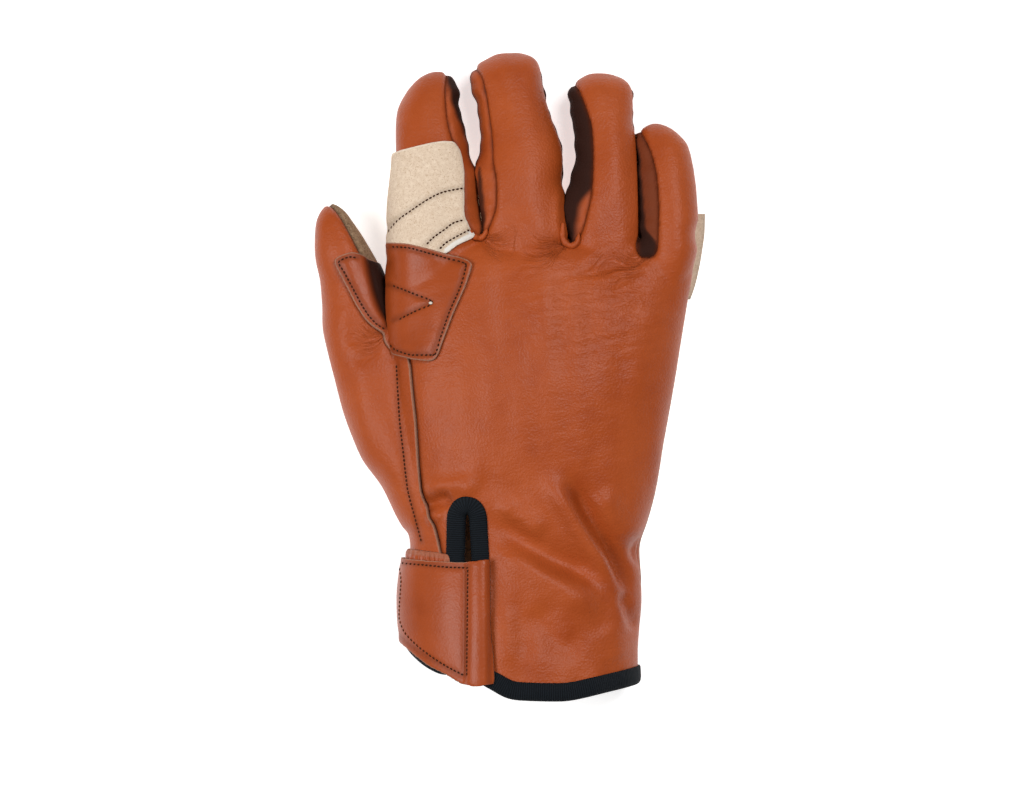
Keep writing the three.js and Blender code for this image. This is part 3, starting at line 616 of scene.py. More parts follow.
def borderEdges(mesh):
    loopEdge = np.empty(len(mesh.loops), dtype=np.int32)
    mesh.loops.foreach_get("edge_index", loopEdge)
    faceCount = np.bincount(loopEdge, minlength=len(mesh.edges))
    return edgesOf(mesh)[faceCount == 1]


settling = {"edgeTimes": 6, "reach": 2.5, "times": 8}


def settleBorder(points, edges, border):  # takes the small steps out of a cut edge and of what is beside it
    numbers, small = np.unique(border, return_inverse=True)
    points[numbers] = evenOut(points[numbers], small.reshape(-1, 2), settling["edgeTimes"])
    near = bump(edgeDistance(points, border), settling["reach"])
    near[numbers] = 0.0
    for _ in range(settling["times"]):
        points = points + near[:, None] * (evenOut(points, edges, 1) - points)
    return points


def edgeDistance(rest, border):  # how far each point is from the sheet's edge
    numbers = np.unique(border)
    tree = KDTree(len(numbers))
    for number in numbers:
        tree.insert(rest[number], int(number))
    tree.balance()
    return np.array([tree.find(point)[2] for point in rest])


sheetTrees = {}  # the outer surface of each sheet in the pattern's millimetres, for its stitches


def addWall(mesh, wall):  # gives a sheet its thickness, inwards, with the flesh side and the cut edge
    work = bmesh.new()
    work.from_mesh(mesh)
    outer = list(work.faces)
    outward = work.verts.layers.float_vector["outward"]
    made = bmesh.ops.extrude_face_region(work, geom=outer, use_keep_orig=True)["geom"]
    inner = [thing for thing in made if isinstance(thing, bmesh.types.BMFace)]
    for face in work.faces:
        face.smooth = True
        face.material_index = 2
    for face in outer:
        face.material_index = 0
    for face in inner:
        face.material_index = 1
    for thing in made:
        if isinstance(thing, bmesh.types.BMVert):
            thing.co -= thing[outward] * wall
    bmesh.ops.recalc_face_normals(work, faces=work.faces)
    work.to_mesh(mesh)
    work.free()


def layPiece(name, mesh, slot, node=None):  # moves a finished mesh from the pattern into the frame
    placed = (verticesOf(mesh) + shift) / 1000.0
    placed[:, 2] = np.maximum(placed[:, 2], overFloor)
    mesh.vertices.foreach_set("co", placed.ravel())
    mesh.update()
    piece = addObject(name, mesh)
    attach(piece, "root")
    if node:
        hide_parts(node)


def joinPiece(mesh, name, material, slot, node=None):
    for face in mesh.faces:
        face.smooth = True
    made = bpy.data.meshes.new(name)
    mesh.to_mesh(made)
    mesh.free()
    made.materials.append(material)
    layPiece(name, made, slot, node)


def finishSheet(name, mesh, points, outward, materials, sheet, looks):
    faces = [tuple(polygon.vertices) for polygon in mesh.polygons]
    sheetTrees[name] = BVHTree.FromPolygons([tuple(point) for point in points], faces)
    mesh.vertices.foreach_set("co", points.ravel())
    mesh.attributes["outward"].data.foreach_set("vector", outward.astype(np.float32).ravel())
    for attribute, values in looks.items():
        setLook(mesh, attribute, values)
    mesh.materials.clear()
    for material in materials:
        mesh.materials.append(material)
    addWall(mesh, sheet["wall"])
    for attribute in ("outward", "rest"):
        mesh.attributes.remove(mesh.attributes[attribute])
    layPiece(name, mesh, sheet["slot"], sheet["node"])


# One value in a material: it can be added to, multiplied and so on, and each sum is a Math node.
class Wire:
    def __init__(self, finish, socket):
        self.finish = finish
        self.socket = socket

    def maths(self, operation, first, second):
        return self.finish.node("ShaderNodeMath", {"operation": operation}, {0: first, 1: second})

    def __add__(self, other):
        return self.maths("ADD", self, other)

    def __radd__(self, other):
        return self.maths("ADD", other, self)

    def __sub__(self, other):
        return self.maths("SUBTRACT", self, other)

    def __rsub__(self, other):
        return self.maths("SUBTRACT", other, self)

    def __mul__(self, other):
        return self.maths("MULTIPLY", self, other)

    def __rmul__(self, other):
        return self.maths("MULTIPLY", other, self)


class Finish:
    def __init__(self, name, roughness, shine=None):
        self.material = bpy.data.materials.new(name)
        self.material.use_nodes = True
        self.tree = self.material.node_tree
        self.shader = self.tree.nodes["Principled BSDF"]
        self.shader.inputs["Roughness"].default_value = roughness
        if shine is not None:
            self.shader.inputs["Specular IOR Level"].default_value = shine

    def node(self, kind, settings=None, inputs=None, output=0):
        made = self.tree.nodes.new(kind)
        for key, value in (settings or {}).items():
            setattr(made, key, value)
        for key, value in (inputs or {}).items():
            self.feed(made.inputs[key], value)
        return Wire(self, made.outputs[output])

    def feed(self, socket, value):
        if isinstance(value, Wire):
            self.tree.links.new(value.socket, socket)
        else:
            socket.default_value = value

    def place(self):
        return self.node("ShaderNodeTexCoord", output="Object")

    def noise(self, scale, detail=3.0, roughness=0.55, where=None):
        return self.node("ShaderNodeTexNoise", {}, {
            "Vector": where or self.place(), "Scale": scale, "Detail": detail, "Roughness": roughness,
        })

    def cells(self, scale):
        return self.node("ShaderNodeTexVoronoi", {}, {"Vector": self.place(), "Scale": scale}, "Distance")

    def look(self, attribute, output="Fac"):
        return self.node("ShaderNodeAttribute", {"attribute_name": attribute}, output=output)

    def ramp(self, value, low, high, first=0.0, last=1.0):
        return self.node("ShaderNodeMapRange", {"clamp": True, "interpolation_type": "SMOOTHSTEP"},
                         {0: value, 1: low, 2: high, 3: first, 4: last})

    def mix(self, factor, first, second):
        return self.node("ShaderNodeMix", {"data_type": "RGBA", "clamp_factor": True}, {
            0: factor, 6: first if isinstance(first, Wire) else (*first, 1.0),
            7: second if isinstance(second, Wire) else (*second, 1.0),
        }, output=2)

    def shape(self, height, distance, strength=1.0):
        self.feed(self.shader.inputs["Normal"], self.node("ShaderNodeBump", {}, {
            "Height": height, "Distance": distance, "Strength": strength,
        }))

    def colour(self, value):
        self.feed(self.shader.inputs["Base Color"], value)

    def gloss(self, value):
        self.feed(self.shader.inputs["Roughness"], value)


# Leather: cloudy dye, a pebble grain, fine creases that follow the pull of the glove with painted shade in
# them, pale raw edges, painted shade along the seams and painted shade from the shade attribute. The looks
# of a place come from the sheet's own attributes. clouds, blotches, pebbles and so on are counted for each
# metre. streaks are the long creases over the back of the hand.
streaks = {"turn": 0.22, "middle": (600, 310), "reach": (34.0, 30.0), "least": 0.1, "most": 0.45}
# In hide, shadeDark and shaded set the painted shade from the shade attribute, and the crease and seam
# factors set the painted shade in creases and seams.
hide = {
    "shine": 0.22, "clouds": 38.0, "blotches": 160.0, "warp": 60.0, "pull": (150.0, 520.0, 300.0),
    "fibre": 1500.0, "pebbles": 1150.0, "fine": 2600.0, "bump": 0.00015, "creasePaintedShade": 0.16,
    "creaseDeep": 1.9, "shadeDark": 0.95, "shaded": (0.007, 0.0025, 0.0015), "seamPaintedShade": 0.72,
    "rimDark": (0.20, 0.065, 0.034), "rimLight": (0.46, 0.24, 0.16),
}


def leatherFinish(name, tone, roughness, grain=1.0, creases=1.0):
    made = Finish(name, roughness, hide["shine"])
    base, dark, light = tone
    clouds = made.noise(hide["clouds"])
    blotches = made.noise(hide["blotches"])
    colour = made.mix(made.ramp(clouds, 0.3, 0.7), dark, light)
    colour = made.mix(made.ramp(blotches, 0.25, 0.75, 0.25, 0.9), colour, base)
    warp = made.noise(hide["warp"], 2.0)
    turned = made.node("ShaderNodeMapping", {}, {
        "Vector": made.place(), "Rotation": (0.0, 0.0, -streaks["turn"]), "Scale": hide["pull"],
    })
    pulled = made.node("ShaderNodeVectorMath", {"operation": "MULTIPLY_ADD"}, {
        0: turned, 1: (1.0, 1.0, 1.0), 2: warp * 2.2,
    })
    lines = made.noise(1.0, 3.0, 0.6, pulled)
    rays = made.noise(1.0, 3.0, 0.6, made.look("rays", "Vector"))
    crease = (made.ramp(lines, 0.42, 0.62) * made.look("streakDepth")
              + made.ramp(rays, 0.42, 0.62) * made.look("rayDepth"))
    # Painted shade in the fine creases and the long streaks
    colour = made.mix(crease * hide["creasePaintedShade"] * creases, colour, tuple(part * 0.45 for part in dark))
    # Painted shade from the sheet's shade attribute, mixed towards a near-black colour
    shade = made.look("shade")
    colour = made.mix(shade * hide["shadeDark"], colour, hide["shaded"])
    # Painted shade along the seams and in the stitch grooves
    seam = made.look("seam")
    colour = made.mix(seam * hide["seamPaintedShade"], colour, tuple(part * 0.3 for part in dark))
    rim = made.ramp(made.look("raw"), 0.62, 0.84)
    rimColour = made.mix(made.noise(hide["fibre"], 2.0), hide["rimDark"], hide["rimLight"])
    made.colour(made.mix(rim, colour, rimColour))
    pebbles = made.cells(hide["pebbles"])
    fine = made.noise(hide["fine"], 2.0)
    made.shape((pebbles * 0.7 + fine * 0.4) * grain - crease * hide["creaseDeep"] * creases, hide["bump"])
    made.gloss(clouds * 0.14 + crease * 0.1 + seam * 0.2 + rim * 0.3 + shade * 0.35 + (roughness - 0.07))
    return made.material


# Suede: a short nap with pale and brown flecks
def suedeFinish(name, dark, light, fleck):
    made = Finish(name, 0.95, 0.1)
    nap = made.noise(650.0, 4.0, 0.7)
    flecks = made.noise(1900.0, 2.0, 0.7)
    colour = made.mix(made.ramp(nap, 0.25, 0.75, 0.2, 0.9), dark, light)
    colour = made.mix(made.ramp(flecks, 0.54, 0.66, 0.0, 0.8), colour, fleck)
    colour = made.mix(made.look("pale") * 0.8, colour, (0.80, 0.78, 0.74))
    # Painted shade along the seams and in the stitch grooves
    colour = made.mix(made.look("seam") * 0.6, colour, tuple(part * 0.35 for part in dark))
    colour = made.mix(made.ramp(made.look("raw"), 0.5, 0.72, 0.0, 0.5), colour, (0.86, 0.76, 0.64))
    made.colour(colour)
    made.shape(nap * 0.6 + flecks * 0.5, 0.0003, 0.8)
    return made.material


def plainFinish(name, dark, light, roughness, scale, depth, shine=None):
    made = Finish(name, roughness, shine)
    flecks = made.noise(scale, 4.0, 0.7)
    made.colour(made.mix(flecks, dark, light))
    made.shape(flecks, depth)
    return made.material


ribPitch = 0.8  # millimetres from rib to rib of the tape


def tapeFinish():
    made = Finish("grosgrain", 0.8, 0.15)
    turns = made.look("alongTape") * (2 * math.pi / ribPitch)
    ribs = made.node("ShaderNodeMath", {"operation": "SINE"}, {0: turns})
    # lit paints the rib tops lighter and the hollows darker, painted highlight and shade on the ribs; it is
    # also the ribs' bump height
    lit = ribs * 0.5 + 0.5
    weave = made.noise(1800.0, 2.0)
    made.colour(made.mix(lit * 0.7 + weave * 0.3, (0.0015, 0.002, 0.003), (0.009, 0.013, 0.018)))
    made.shape(lit + weave * 0.3, 0.0002)
    return made.material


print("finishes")
cognac = ((0.375, 0.068, 0.0125), (0.31, 0.049, 0.008), (0.42, 0.082, 0.017))
smoothCognac = ((0.335, 0.059, 0.011), (0.27, 0.044, 0.007), (0.38, 0.070, 0.014))
leather = leatherFinish("leather", cognac, 0.41)
patchLeather = leatherFinish("patchLeather", smoothCognac, 0.36, 0.45, 0.6)
sideStrip = leatherFinish("sideStrip", cognac, 0.5, 0.8, 0.7)
suede = suedeFinish("suede", (0.60, 0.45, 0.32), (0.78, 0.64, 0.50), (0.50, 0.34, 0.22))
# The suede on the palm side of the thumb is painted darker than the other suede, as painted shade
shadedThumbSuede = suedeFinish("shadedThumbSuede", (0.17, 0.095, 0.050), (0.36, 0.24, 0.15), (0.05, 0.022, 0.012))
fleshSide = plainFinish("fleshSide", (0.30, 0.17, 0.10), (0.42, 0.26, 0.16), 0.95, 700.0, 0.0002)
rawEdge = plainFinish("rawEdge", (0.16, 0.05, 0.025), (0.42, 0.21, 0.13), 0.9, 1200.0, 0.0002)
darkEdge = plainFinish("darkEdge", (0.10, 0.018, 0.005), (0.16, 0.03, 0.009), 0.8, 1200.0, 0.0002)
thread = plainFinish("thread", (0.016, 0.005, 0.002), (0.075, 0.023, 0.010), 0.9, 2000.0, 0.0001, 0.1)
paleThread = plainFinish("paleThread", (0.6, 0.52, 0.42), (0.85, 0.8, 0.7), 0.8, 2000.0, 0.0001)
grosgrain = tapeFinish()

# Lines of stitches, drawn on the photograph: the sheet that carries each, and the pitch in millimetres
stitching = {"pitch": 1.5, "radii": (0.6, 0.36, 0.25), "lift": 0.06, "groove": 0.3, "grooveWidth": 1.1}
stitchLines = [
    {"on": "thumbBack", "path": px((397, 365), (400, 417), (404, 452), (408, 487), (415, 515), (422, 541))},
    {"on": "backOfHand", "path": px((417.5, 473), (422.5, 497), (430, 518), (437, 541)), "pitch": 2.6},
    {"on": "thumbPatch", "path": px((392, 247.5), (409, 249), (426, 253.5), (447, 259.5), (466.5, 266.5),
                                    (462, 285), (450.5, 312), (441, 339), (434.5, 355.5), (415, 355.5),
                                    (398, 351), (389, 344))},
    {"on": "thumbPatch", "path": px((393, 286), (414, 294.5), (433, 303.5), (415, 312.5), (398, 321))},
    {"on": "thumbPatch", "path": px((357, 258.5), (351, 257.5), (342, 260.5), (339.5, 263), (345, 273),
                                    (353.5, 289), (361.5, 304), (370, 317), (379, 326), (386, 330))},
    {"on": "indexWrap", "path": px((388, 233), (398, 222), (412, 212), (427, 202), (443, 194), (456, 191),
                                   (462, 190))},
    {"on": "indexWrap", "path": px((427, 246), (434, 239), (445, 231), (455, 224), (462, 222))},
    {"on": "indexWrap", "path": px((440, 250.5), (446, 244.5), (456, 238.5), (470, 231))},
    {"on": "wristStrap", "path": px((401, 562.5), (422, 563.5), (450, 565.5), (471, 566))},
    {"on": "wristStrap", "path": px((468.5, 567), (468, 620), (467.5, 672))},
    {"on": "wristStrap", "path": px((399.5, 567), (401.5, 580), (400.5, 596), (399.5, 615), (404, 629),
                                    (414, 640), (428, 651), (447, 663), (464, 671.5))},
]

# Fine creases that run out from a place: its reach in millimetres, the way that they run in degrees
# from +X, and how wide a fan they fill
creaseFans = [
    {"from": (481, 238), "reach": 16.0, "way": -25.0, "fan": 60.0, "depth": 0.7, "every": 17.0},
    {"from": (569, 246), "reach": 25.0, "way": -165.0, "fan": 50.0, "depth": 0.9, "every": 13.0},
    {"from": (655, 256), "reach": 32.0, "way": -163.0, "fan": 34.0, "depth": 0.9, "every": 8.0},
    {"from": (389, 334), "reach": 20.0, "way": -165.0, "fan": 60.0, "depth": 0.7, "every": 16.0},
    {"from": (458, 502), "reach": 15.0, "way": 168.0, "fan": 45.0, "depth": 0.35, "every": 15.0},
]


def ripples(u, v, seed, waves=7):  # a smooth uneven row of ridges across u
    dice = np.random.default_rng(seed)
    total = np.zeros(len(u))
    for _ in range(waves):
        pace, drift, start = dice.uniform(0.5, 1.5), dice.uniform(-0.35, 0.35), dice.uniform(0, 6.28)
        total += np.sin(6.28 * (pace * u + drift * v) + start)
    return total / waves ** 0.5


def creaseLooks(points, normals):  # how deep the creases are at each place, and where on them it is
    rays = np.zeros((len(points), 3))
    depth, ridges = np.zeros(len(points)), np.zeros(len(points))
    faces = smoothStep(normals[:, 2], 0.0, 0.4)
    for number, fan in enumerate(creaseFans):
        away = points[:, :2] - px(fan["from"])[0]
        reach = np.hypot(away[:, 0], away[:, 1])
        angle = np.degrees(np.arctan2(away[:, 1], away[:, 0])) - fan["way"]
        angle = (angle + 180.0) % 360.0 - 180.0
        mask = fan["depth"] * smoothStep(reach, 0.0, 3.0) * faces
        mask = mask * (1 - smoothStep(reach, 0.3 * fan["reach"], fan["reach"]))
        mask = mask * (1 - smoothStep(np.abs(angle), 0.4 * fan["fan"], fan["fan"]))
        bend = angle + 9.0 * np.sin(reach * 0.35 + number)
        ridges += mask * ripples(bend / fan["every"], reach / 14.0, 20 + number)
        deeper = mask > depth
        rays[deeper] = np.column_stack([
            np.radians(bend) * 11.0, reach * 0.09, np.full(len(points), 7.0 * number),
        ])[deeper]
        depth = np.maximum(depth, mask)
    middle = px(streaks["middle"])[0]
    wide, tall = streaks["reach"]
    away = np.hypot((points[:, 0] - middle[0]) / wide, (points[:, 1] - middle[1]) / tall)
    streakDepth = streaks["least"] + (streaks["most"] - streaks["least"]) * (1 - smoothStep(away, 0.25, 1.0))
    return rays, depth, streakDepth * faces, ridges


# Folds of the leather: how wide and how high a ridge is, or how deep a hollow, in millimetres, and its line
# on the photograph. A fold fades out at both ends.
folds = [
    (4.2, 3.38, px((541, 467), (564, 504), (587, 542), (608, 576), (619, 593))),
    (3.4, -4.12, px((564, 466), (576, 490), (593, 521), (612, 551), (627, 578), (639, 610))),
    (5.0, 1.5, px((598, 486), (617, 518), (631, 546))),
    (4.8, -3.38, px((486, 500), (500, 520), (515, 536), (547, 555), (581, 568), (614, 586))),
    (5.6, 2.62, px((495, 536), (518, 557), (547, 577), (575, 595), (606, 612))),
    (5.6, -2.0, px((531, 598), (543, 622), (560, 640), (586, 652))),
    (2.8, -2.25, px((620, 588), (631, 610), (640, 634))),
    (5.0, 0.8, px((600, 622), (612, 645), (618, 662))),
    (4.6, 0.8, px((500, 596), (507, 640), (511, 668))),
    (4.6, -0.8, px((515, 588), (523, 630), (529, 662))),
    (3.0, -2.75, px((421, 507), (438, 501), (455, 494))),
    (3.8, 1.88, px((421, 493), (440, 487), (462, 484), (484, 492))),
    (2.4, 1.25, px((425, 519), (436, 514), (445, 512))),
    (5.0, -0.8, px((468, 478), (500, 490), (528, 508))),
    (4.6, 1.38, px((497, 496), (520, 516), (546, 536))),
    (2.4, -1.25, px((380, 338), (362, 342), (344, 335))),
    (2.6, -0.8, px((382, 346), (366, 356), (350, 364))),
    (2.4, -0.7, px((379, 331), (362, 326), (344, 314))),
    (2.6, -1.5, px((653, 258), (628, 264), (600, 270), (572, 282))),
    (2.8, 0.8, px((650, 266), (626, 275), (596, 284))),
    (3.0, -0.7, px((652, 268), (632, 284), (604, 298))),
    (2.4, -0.8, px((566, 250), (545, 254), (516, 252))),
    (2.6, 0.5, px((566, 256), (545, 264), (522, 268))),
    (1.5, 0.5, px((561, 185), (556, 205), (556, 228), (563, 246))),
    (2.4, -0.7, px((482, 244), (500, 252), (522, 250))),
    (6.5, 1.25, px((540, 190), (541, 240), (542, 300), (548, 360))),
    (8.0, -0.7, px((500, 262), (512, 310), (520, 360))),
    (9.0, 0.7, px((660, 300), (640, 330), (610, 352))),
    (9.0, -0.7, px((650, 380), (630, 430), (606, 470))),
]
waistDent = {"at": px((641, 551))[0], "reach": 4.6, "depth": 3.2}
# Smaller waves of the leather: their height, and their sizes across and along, in millimetres
waves = {"creases": 0.3, "streaks": (0.24, 5.5, 18.0), "broad": (0.16, 15.0, 18.0)}


def foldLift(points, normals):
    fromDent = np.linalg.norm(points[:, :2] - waistDent["at"], axis=1)
    lift = -waistDent["depth"] * bump(fromDent, waistDent["reach"]) * smoothStep(normals[:, 0], 0.2, 0.8)
    faces = smoothStep(normals[:, 2], -0.1, 0.35)
    for width, height, line in folds:
        away, share = pathDistance(points, line)
        fade = smoothStep(share, 0.0, 0.28) * (1 - smoothStep(share, 0.72, 1.0))
        lift += height * fade * bump(away, width)
    lift *= faces
    _, _, streakDepth, ridges = creaseLooks(points, normals)
    lift += waves["creases"] * ridges
    turn = streaks["turn"]
    along = points[:, 0] * math.cos(turn) + points[:, 1] * math.sin(turn)
    across = points[:, 1] * math.cos(turn) - points[:, 0] * math.sin(turn)
    high, wide, far = waves["streaks"]
    lift += high * streakDepth * ripples(across / wide, along / far, 11)
    high, wide, far = waves["broad"]
    lift += high * ripples(points[:, 0] / wide, points[:, 1] / far, 5) * faces
    return lift


# How each sheet is laid: lift over the leather, wall, how far its edge turns in, 0 where it is cut raw, and
# the node that it stands for. finer splits its faces once, for its stitches.
panel = {"lift": 0.0, "wall": 1.6, "turnIn": 0.85, "finish": leather, "slot": "leather", "finer": False}
patch = {"lift": 1.6, "wall": 1.2, "turnIn": 0.0, "finish": patchLeather, "slot": "patch_leather",
         "finer": True}
sheets = {
    "backOfHand": {**panel, "field": backField, "node": "back_panel"},
    "palm": {**panel, "field": palmField, "node": "palm_panel"},
    "thumbBack": {**panel, "field": thumbBackField, "node": "thumb_back"},
    "thumbFront": {**panel, "field": allOf(thumbInside, leatherInside) - seamGap, "node": "thumb_front",
                   "wall": 1.4, "turnIn": 0.8, "finish": shadedThumbSuede, "slot": "suede"},
    "indexWrap": {**patch, "field": wrapField, "node": "index_wrap", "finish": suede, "slot": "suede"},
    "thumbPatch": {**patch, "field": patchField, "node": "thumb_patch", "lift": 2.0},
    "palmSuede": {**patch, "field": suedeField, "node": "palm_suede", "lift": 1.5, "wall": 1.1,
                  "finish": suede, "slot": "suede", "finer": False},
    "strapBase": {**patch, "field": strapBaseField, "node": "strap_base"},
}
for name in gaps:
    sheets[name.replace("fourchette", "sideStrip")] = {
        **panel, "field": allOf(gapFields[name], leatherInside) - seamGap, "node": name,
        "wall": 1.5, "turnIn": 0.8, "finish": sideStrip, "slot": "side_strip",
    }

# Painted shade on each strip between its fingers: wholly on one side of a line of the photograph, or along it
stripShade = {
    "sideStrip_index_middle": [
        {"line": px((448, 78), (452, 98), (459, 118), (468, 140), (476, 158), (490, 172)), "soft": 1.8,
         "side": -1},
        {"line": px((480, 168), (480, 190), (481.5, 205), (483, 222), (481.5, 240)), "half": 1.9},
    ],
    "sideStrip_middle_ring": [
        {"line": px((606, 60), (606, 175), (590, 190), (578, 205), (574, 225), (573, 245)), "soft": 2.6,
         "side": 1},
    ],
    "sideStrip_ring_little": [
        {"line": px((625, 120), (637, 146), (641, 180), (643, 205), (645, 228), (655, 244), (660, 262)),
         "soft": 1.8, "side": 1, "least": 0.6},
    ],
}


def stripPaintedShade(name, rest, outward):
    # Painted shade where the strip turns to face sideways, and on the marked parts of the strip
    shade = 0.9 * (1 - smoothStep(outward[:, 2], 0.0, 0.5))
    for mark in stripShade[name]:
        line = mark["line"]
        if "half" in mark:
            away, share = pathDistance(rest, line)
            half = mark["half"] * np.sqrt(np.sin(np.pi * np.clip(share, 0.02, 0.98)))
            shade = np.maximum(shade, 0.9 * (1 - smoothStep(away, 0.2 * half, half)))
            continue
        height = np.clip(rest[:, 1], line[:, 1].min(), line[:, 1].max())
        aside = (rest[:, 0] - xAt(line, height)) * mark["side"]
        dark = 1 - smoothStep(aside, -0.3 * mark["soft"], mark["soft"])
        if mark["side"] < 0:
            dark = dark * (rest[:, 0] < xAt(gaps["fourchette_index_middle"]["middle"], rest[:, 1]))
        shade = np.maximum(shade, np.maximum(dark, mark.get("least", 0.0)))
    return shade


# The part of the patch that sinks into the fold between the thumb and the hand, with painted shade over it
thumbShade = {
    "left": px((352, 240), (357, 258), (363, 285), (370, 308), (380, 328), (386, 345)),
    "right": px((390.5, 240), (390.5, 316), (388, 327), (384, 335), (382, 345)),
    "soft": 4.2, "sink": 1.3,
}


def splitFaces(mesh):
    work = bmesh.new()
    work.from_mesh(mesh)
    bmesh.ops.subdivide_edges(work, edges=work.edges, cuts=1, use_grid_fill=True)
    work.to_mesh(mesh)
    work.free()


def stitchGroove(name, points):  # 1 under a line of stitches, falling to 0 beside it
    groove = np.zeros(len(points))
    for line in stitchLines:
        if line["on"] == name:
            away, _ = pathDistance(points, line["path"])
            groove = np.maximum(groove, bump(away, stitching["grooveWidth"]))
    return groove


def prepareSheet(name, sheet):
    mesh = cutSheet(name, sheet["field"])
    if sheet["finer"]:
        splitFaces(mesh)
    rest, outward = readVectors(mesh, "rest"), readVectors(mesh, "outward")
    outward /= np.linalg.norm(outward, axis=1)[:, None]
    border = borderEdges(mesh)
    rest = settleBorder(rest, edgesOf(mesh), border)
    return mesh, rest, outward, edgeDistance(rest, border)


# How far in from its edge a sheet looks raw, takes painted shade along its seam or turns in, in millimetres.
# lap is where the thumb's leather lies over the back of the hand's, and paleEdge is the white selvedge of the
# suede sleeve.
edging = {"raw": 1.6, "seam": 0.65, "turn": 0.95, "worn": 0.5, "wear": 0.35, "lap": 2.2, "lapLift": 0.4,
          "paleEdge": (1.6, 2.0), "paleFrom": px((444, 232))[0]}


def makeSheet(name, sheet):
    mesh, rest, outward, edge = prepareSheet(name, sheet)
    isRaw = sheet["turnIn"] == 0
    groove = stitchGroove(name, rest)
    lap = bump(rest[:, 0] - xAt(radialSeam, rest[:, 1]), edging["lap"]) * smoothStep(outward[:, 2], 0.0, 0.3)
    raw = np.clip(1 - edge / edging["raw"], 0, 1) * isRaw
    # seam is painted shade along a turned-in seam
    seam = bump(edge, edging["seam"]) * (not isRaw)
    turn = sheet["turnIn"] * bump(edge, edging["turn"])
    lift = sheet["lift"] + foldLift(rest, outward) - stitching["groove"] * groove
    pale = np.zeros(len(rest))
    if name == "indexWrap":
        pale = 1 - smoothStep(edge, *edging["paleEdge"])
        pale *= smoothStep(rest[:, 0] - edging["paleFrom"][0], 0.0, 0.5)
        pale *= smoothStep(edging["paleFrom"][1] - rest[:, 1], 0.0, 0.5)
    if name == "strapBase":
        raw = 0.72 * np.clip(1.6 - edge / 3.0, 0, 1)
        lift += 0.22 * ripples(rest[:, 0] / 1.6, rest[:, 1] / 1.6, 8)
    if name == "thumbBack":
        lift += edging["lapLift"] * lap
        turn *= 1 - lap
        seam *= 1 - lap
        raw = np.clip(1 - edge / 0.9, 0, 1) * (lap > 0.5)
    if name == "backOfHand":
        lift -= edging["lapLift"] * lap
        # Painted shadow along the edge where the thumb's leather laps over the back of the hand
        seam = np.maximum(seam, 0.8 * bump(edge, edging["raw"]) * (lap > 0.3))
    shade = np.zeros(len(rest))
    if name in stripShade:
        shade = stripPaintedShade(name, rest, outward)
        lift += 0.3 * ripples(rest[:, 1] / 9.0, rest[:, 2] / 16.0, 31)
    if name == "thumbPatch":
        # Painted shade on the part of the patch in the fold beside the thumb
        shade = smoothStep(rest[:, 0] - xAt(thumbShade["left"], rest[:, 1]), 0.0, thumbShade["soft"])
        shade *= 1 - smoothStep(rest[:, 0] - xAt(thumbShade["right"], rest[:, 1]), -0.5, 0.1)
        lift -= thumbShade["sink"] * shade ** 2
    if isRaw:
        lift -= edging["wear"] * bump(edge, edging["worn"])
    points = rest + outward * (lift - turn)[:, None]
    rays, rayDepth, streakDepth, _ = creaseLooks(rest, outward)
    # seam carries painted shade along the seams and stitch grooves, and shade the painted shade of the strips
    # and the patch
    looks = {
        "seam": np.maximum(seam, 0.55 * groove), "raw": raw, "rays": rays, "rayDepth": rayDepth,
        "streakDepth": streakDepth, "shade": shade, "pale": pale,
    }
    rim = rawEdge if isRaw or name == "thumbBack" else darkEdge
    finishSheet(name, mesh, points, outward, [sheet["finish"], fleshSide, rim], sheet, looks)
    print("sheet:", name, len(mesh.vertices), "points")


for name, sheet in sheets.items():
    makeSheet(name, sheet)

# The strap: two layers of leather, with the folded end standing up as a roll
strap = {
    "field": strapField, "lift": 3.5, "wall": 1.7, "slot": "patch_leather", "node": "wrist_strap",
    "finer": True, "foldX": px((468.5, 0))[0, 0], "endX": px((492.5, 0))[0, 0],
    "roll": 2.3, "fall": 1.2, "groove": 0.28, "worn": 0.6, "wear": 0.3,
}


def makeStrap():
    mesh, rest, outward, edge = prepareSheet("wristStrap", strap)
    outward = evenOut(outward, edgesOf(mesh), 20)
    outward /= np.linalg.norm(outward, axis=1)[:, None]
    groove = stitchGroove("wristStrap", rest)
    across = np.clip((rest[:, 0] - strap["foldX"]) / (strap["endX"] - strap["foldX"]), 0, 1)
    roll = strap["roll"] * np.sqrt(np.clip(1 - (2 * across - 1) ** 2, 0, 1))
    fall = strap["fall"] * smoothStep(across, 0.8, 1.0)
    flat = evenOut(foldLift(rest, outward)[:, None], edgesOf(mesh), 30)[:, 0]
    lift = strap["lift"] + roll - fall + 0.5 * flat
    lift -= strap["groove"] * groove + strap["wear"] * bump(edge, strap["worn"])
    points = rest + outward * lift[:, None]
    points = evenOut(points, edgesOf(mesh), 4)
    raw = np.clip(1 - edge / edging["raw"], 0, 1) * (across < 0.05)
    # seam is painted shade in the stitch grooves, and streakDepth gives painted shade in the creases
    looks = {"seam": 0.5 * groove, "raw": raw, "streakDepth": np.full(len(rest), 0.12)}
    finishSheet("wristStrap", mesh, points, outward, [patchLeather, fleshSide, rawEdge], strap, looks)
    print("strap")


makeStrap()

# Tape folded over the edge of the cuff and of the slit. The section runs from the tape's outer edge, over
# the leather's edge and back inside: how far in from the edge, and how high over the leather.
tape = {
    "section": [
        (6.8, 0.1), (6.75, 0.7), (6.3, 0.92), (4.6, 1.0), (2.6, 1.02), (1.3, 0.85), (0.5, 0.42), (0.1, -0.2),
        (0.0, -0.9), (0.1, -1.6), (0.5, -2.2), (1.3, -2.65), (2.6, -2.8), (4.6, -2.8), (6.3, -2.7),
        (6.75, -2.5),
        (6.8, -1.95), (6.2, -1.9), (1.6, -1.9), (1.0, -0.9), (1.6, 0.08), (6.2, 0.1),
    ],
    "step": 0.9, "middle": 3.4,
}


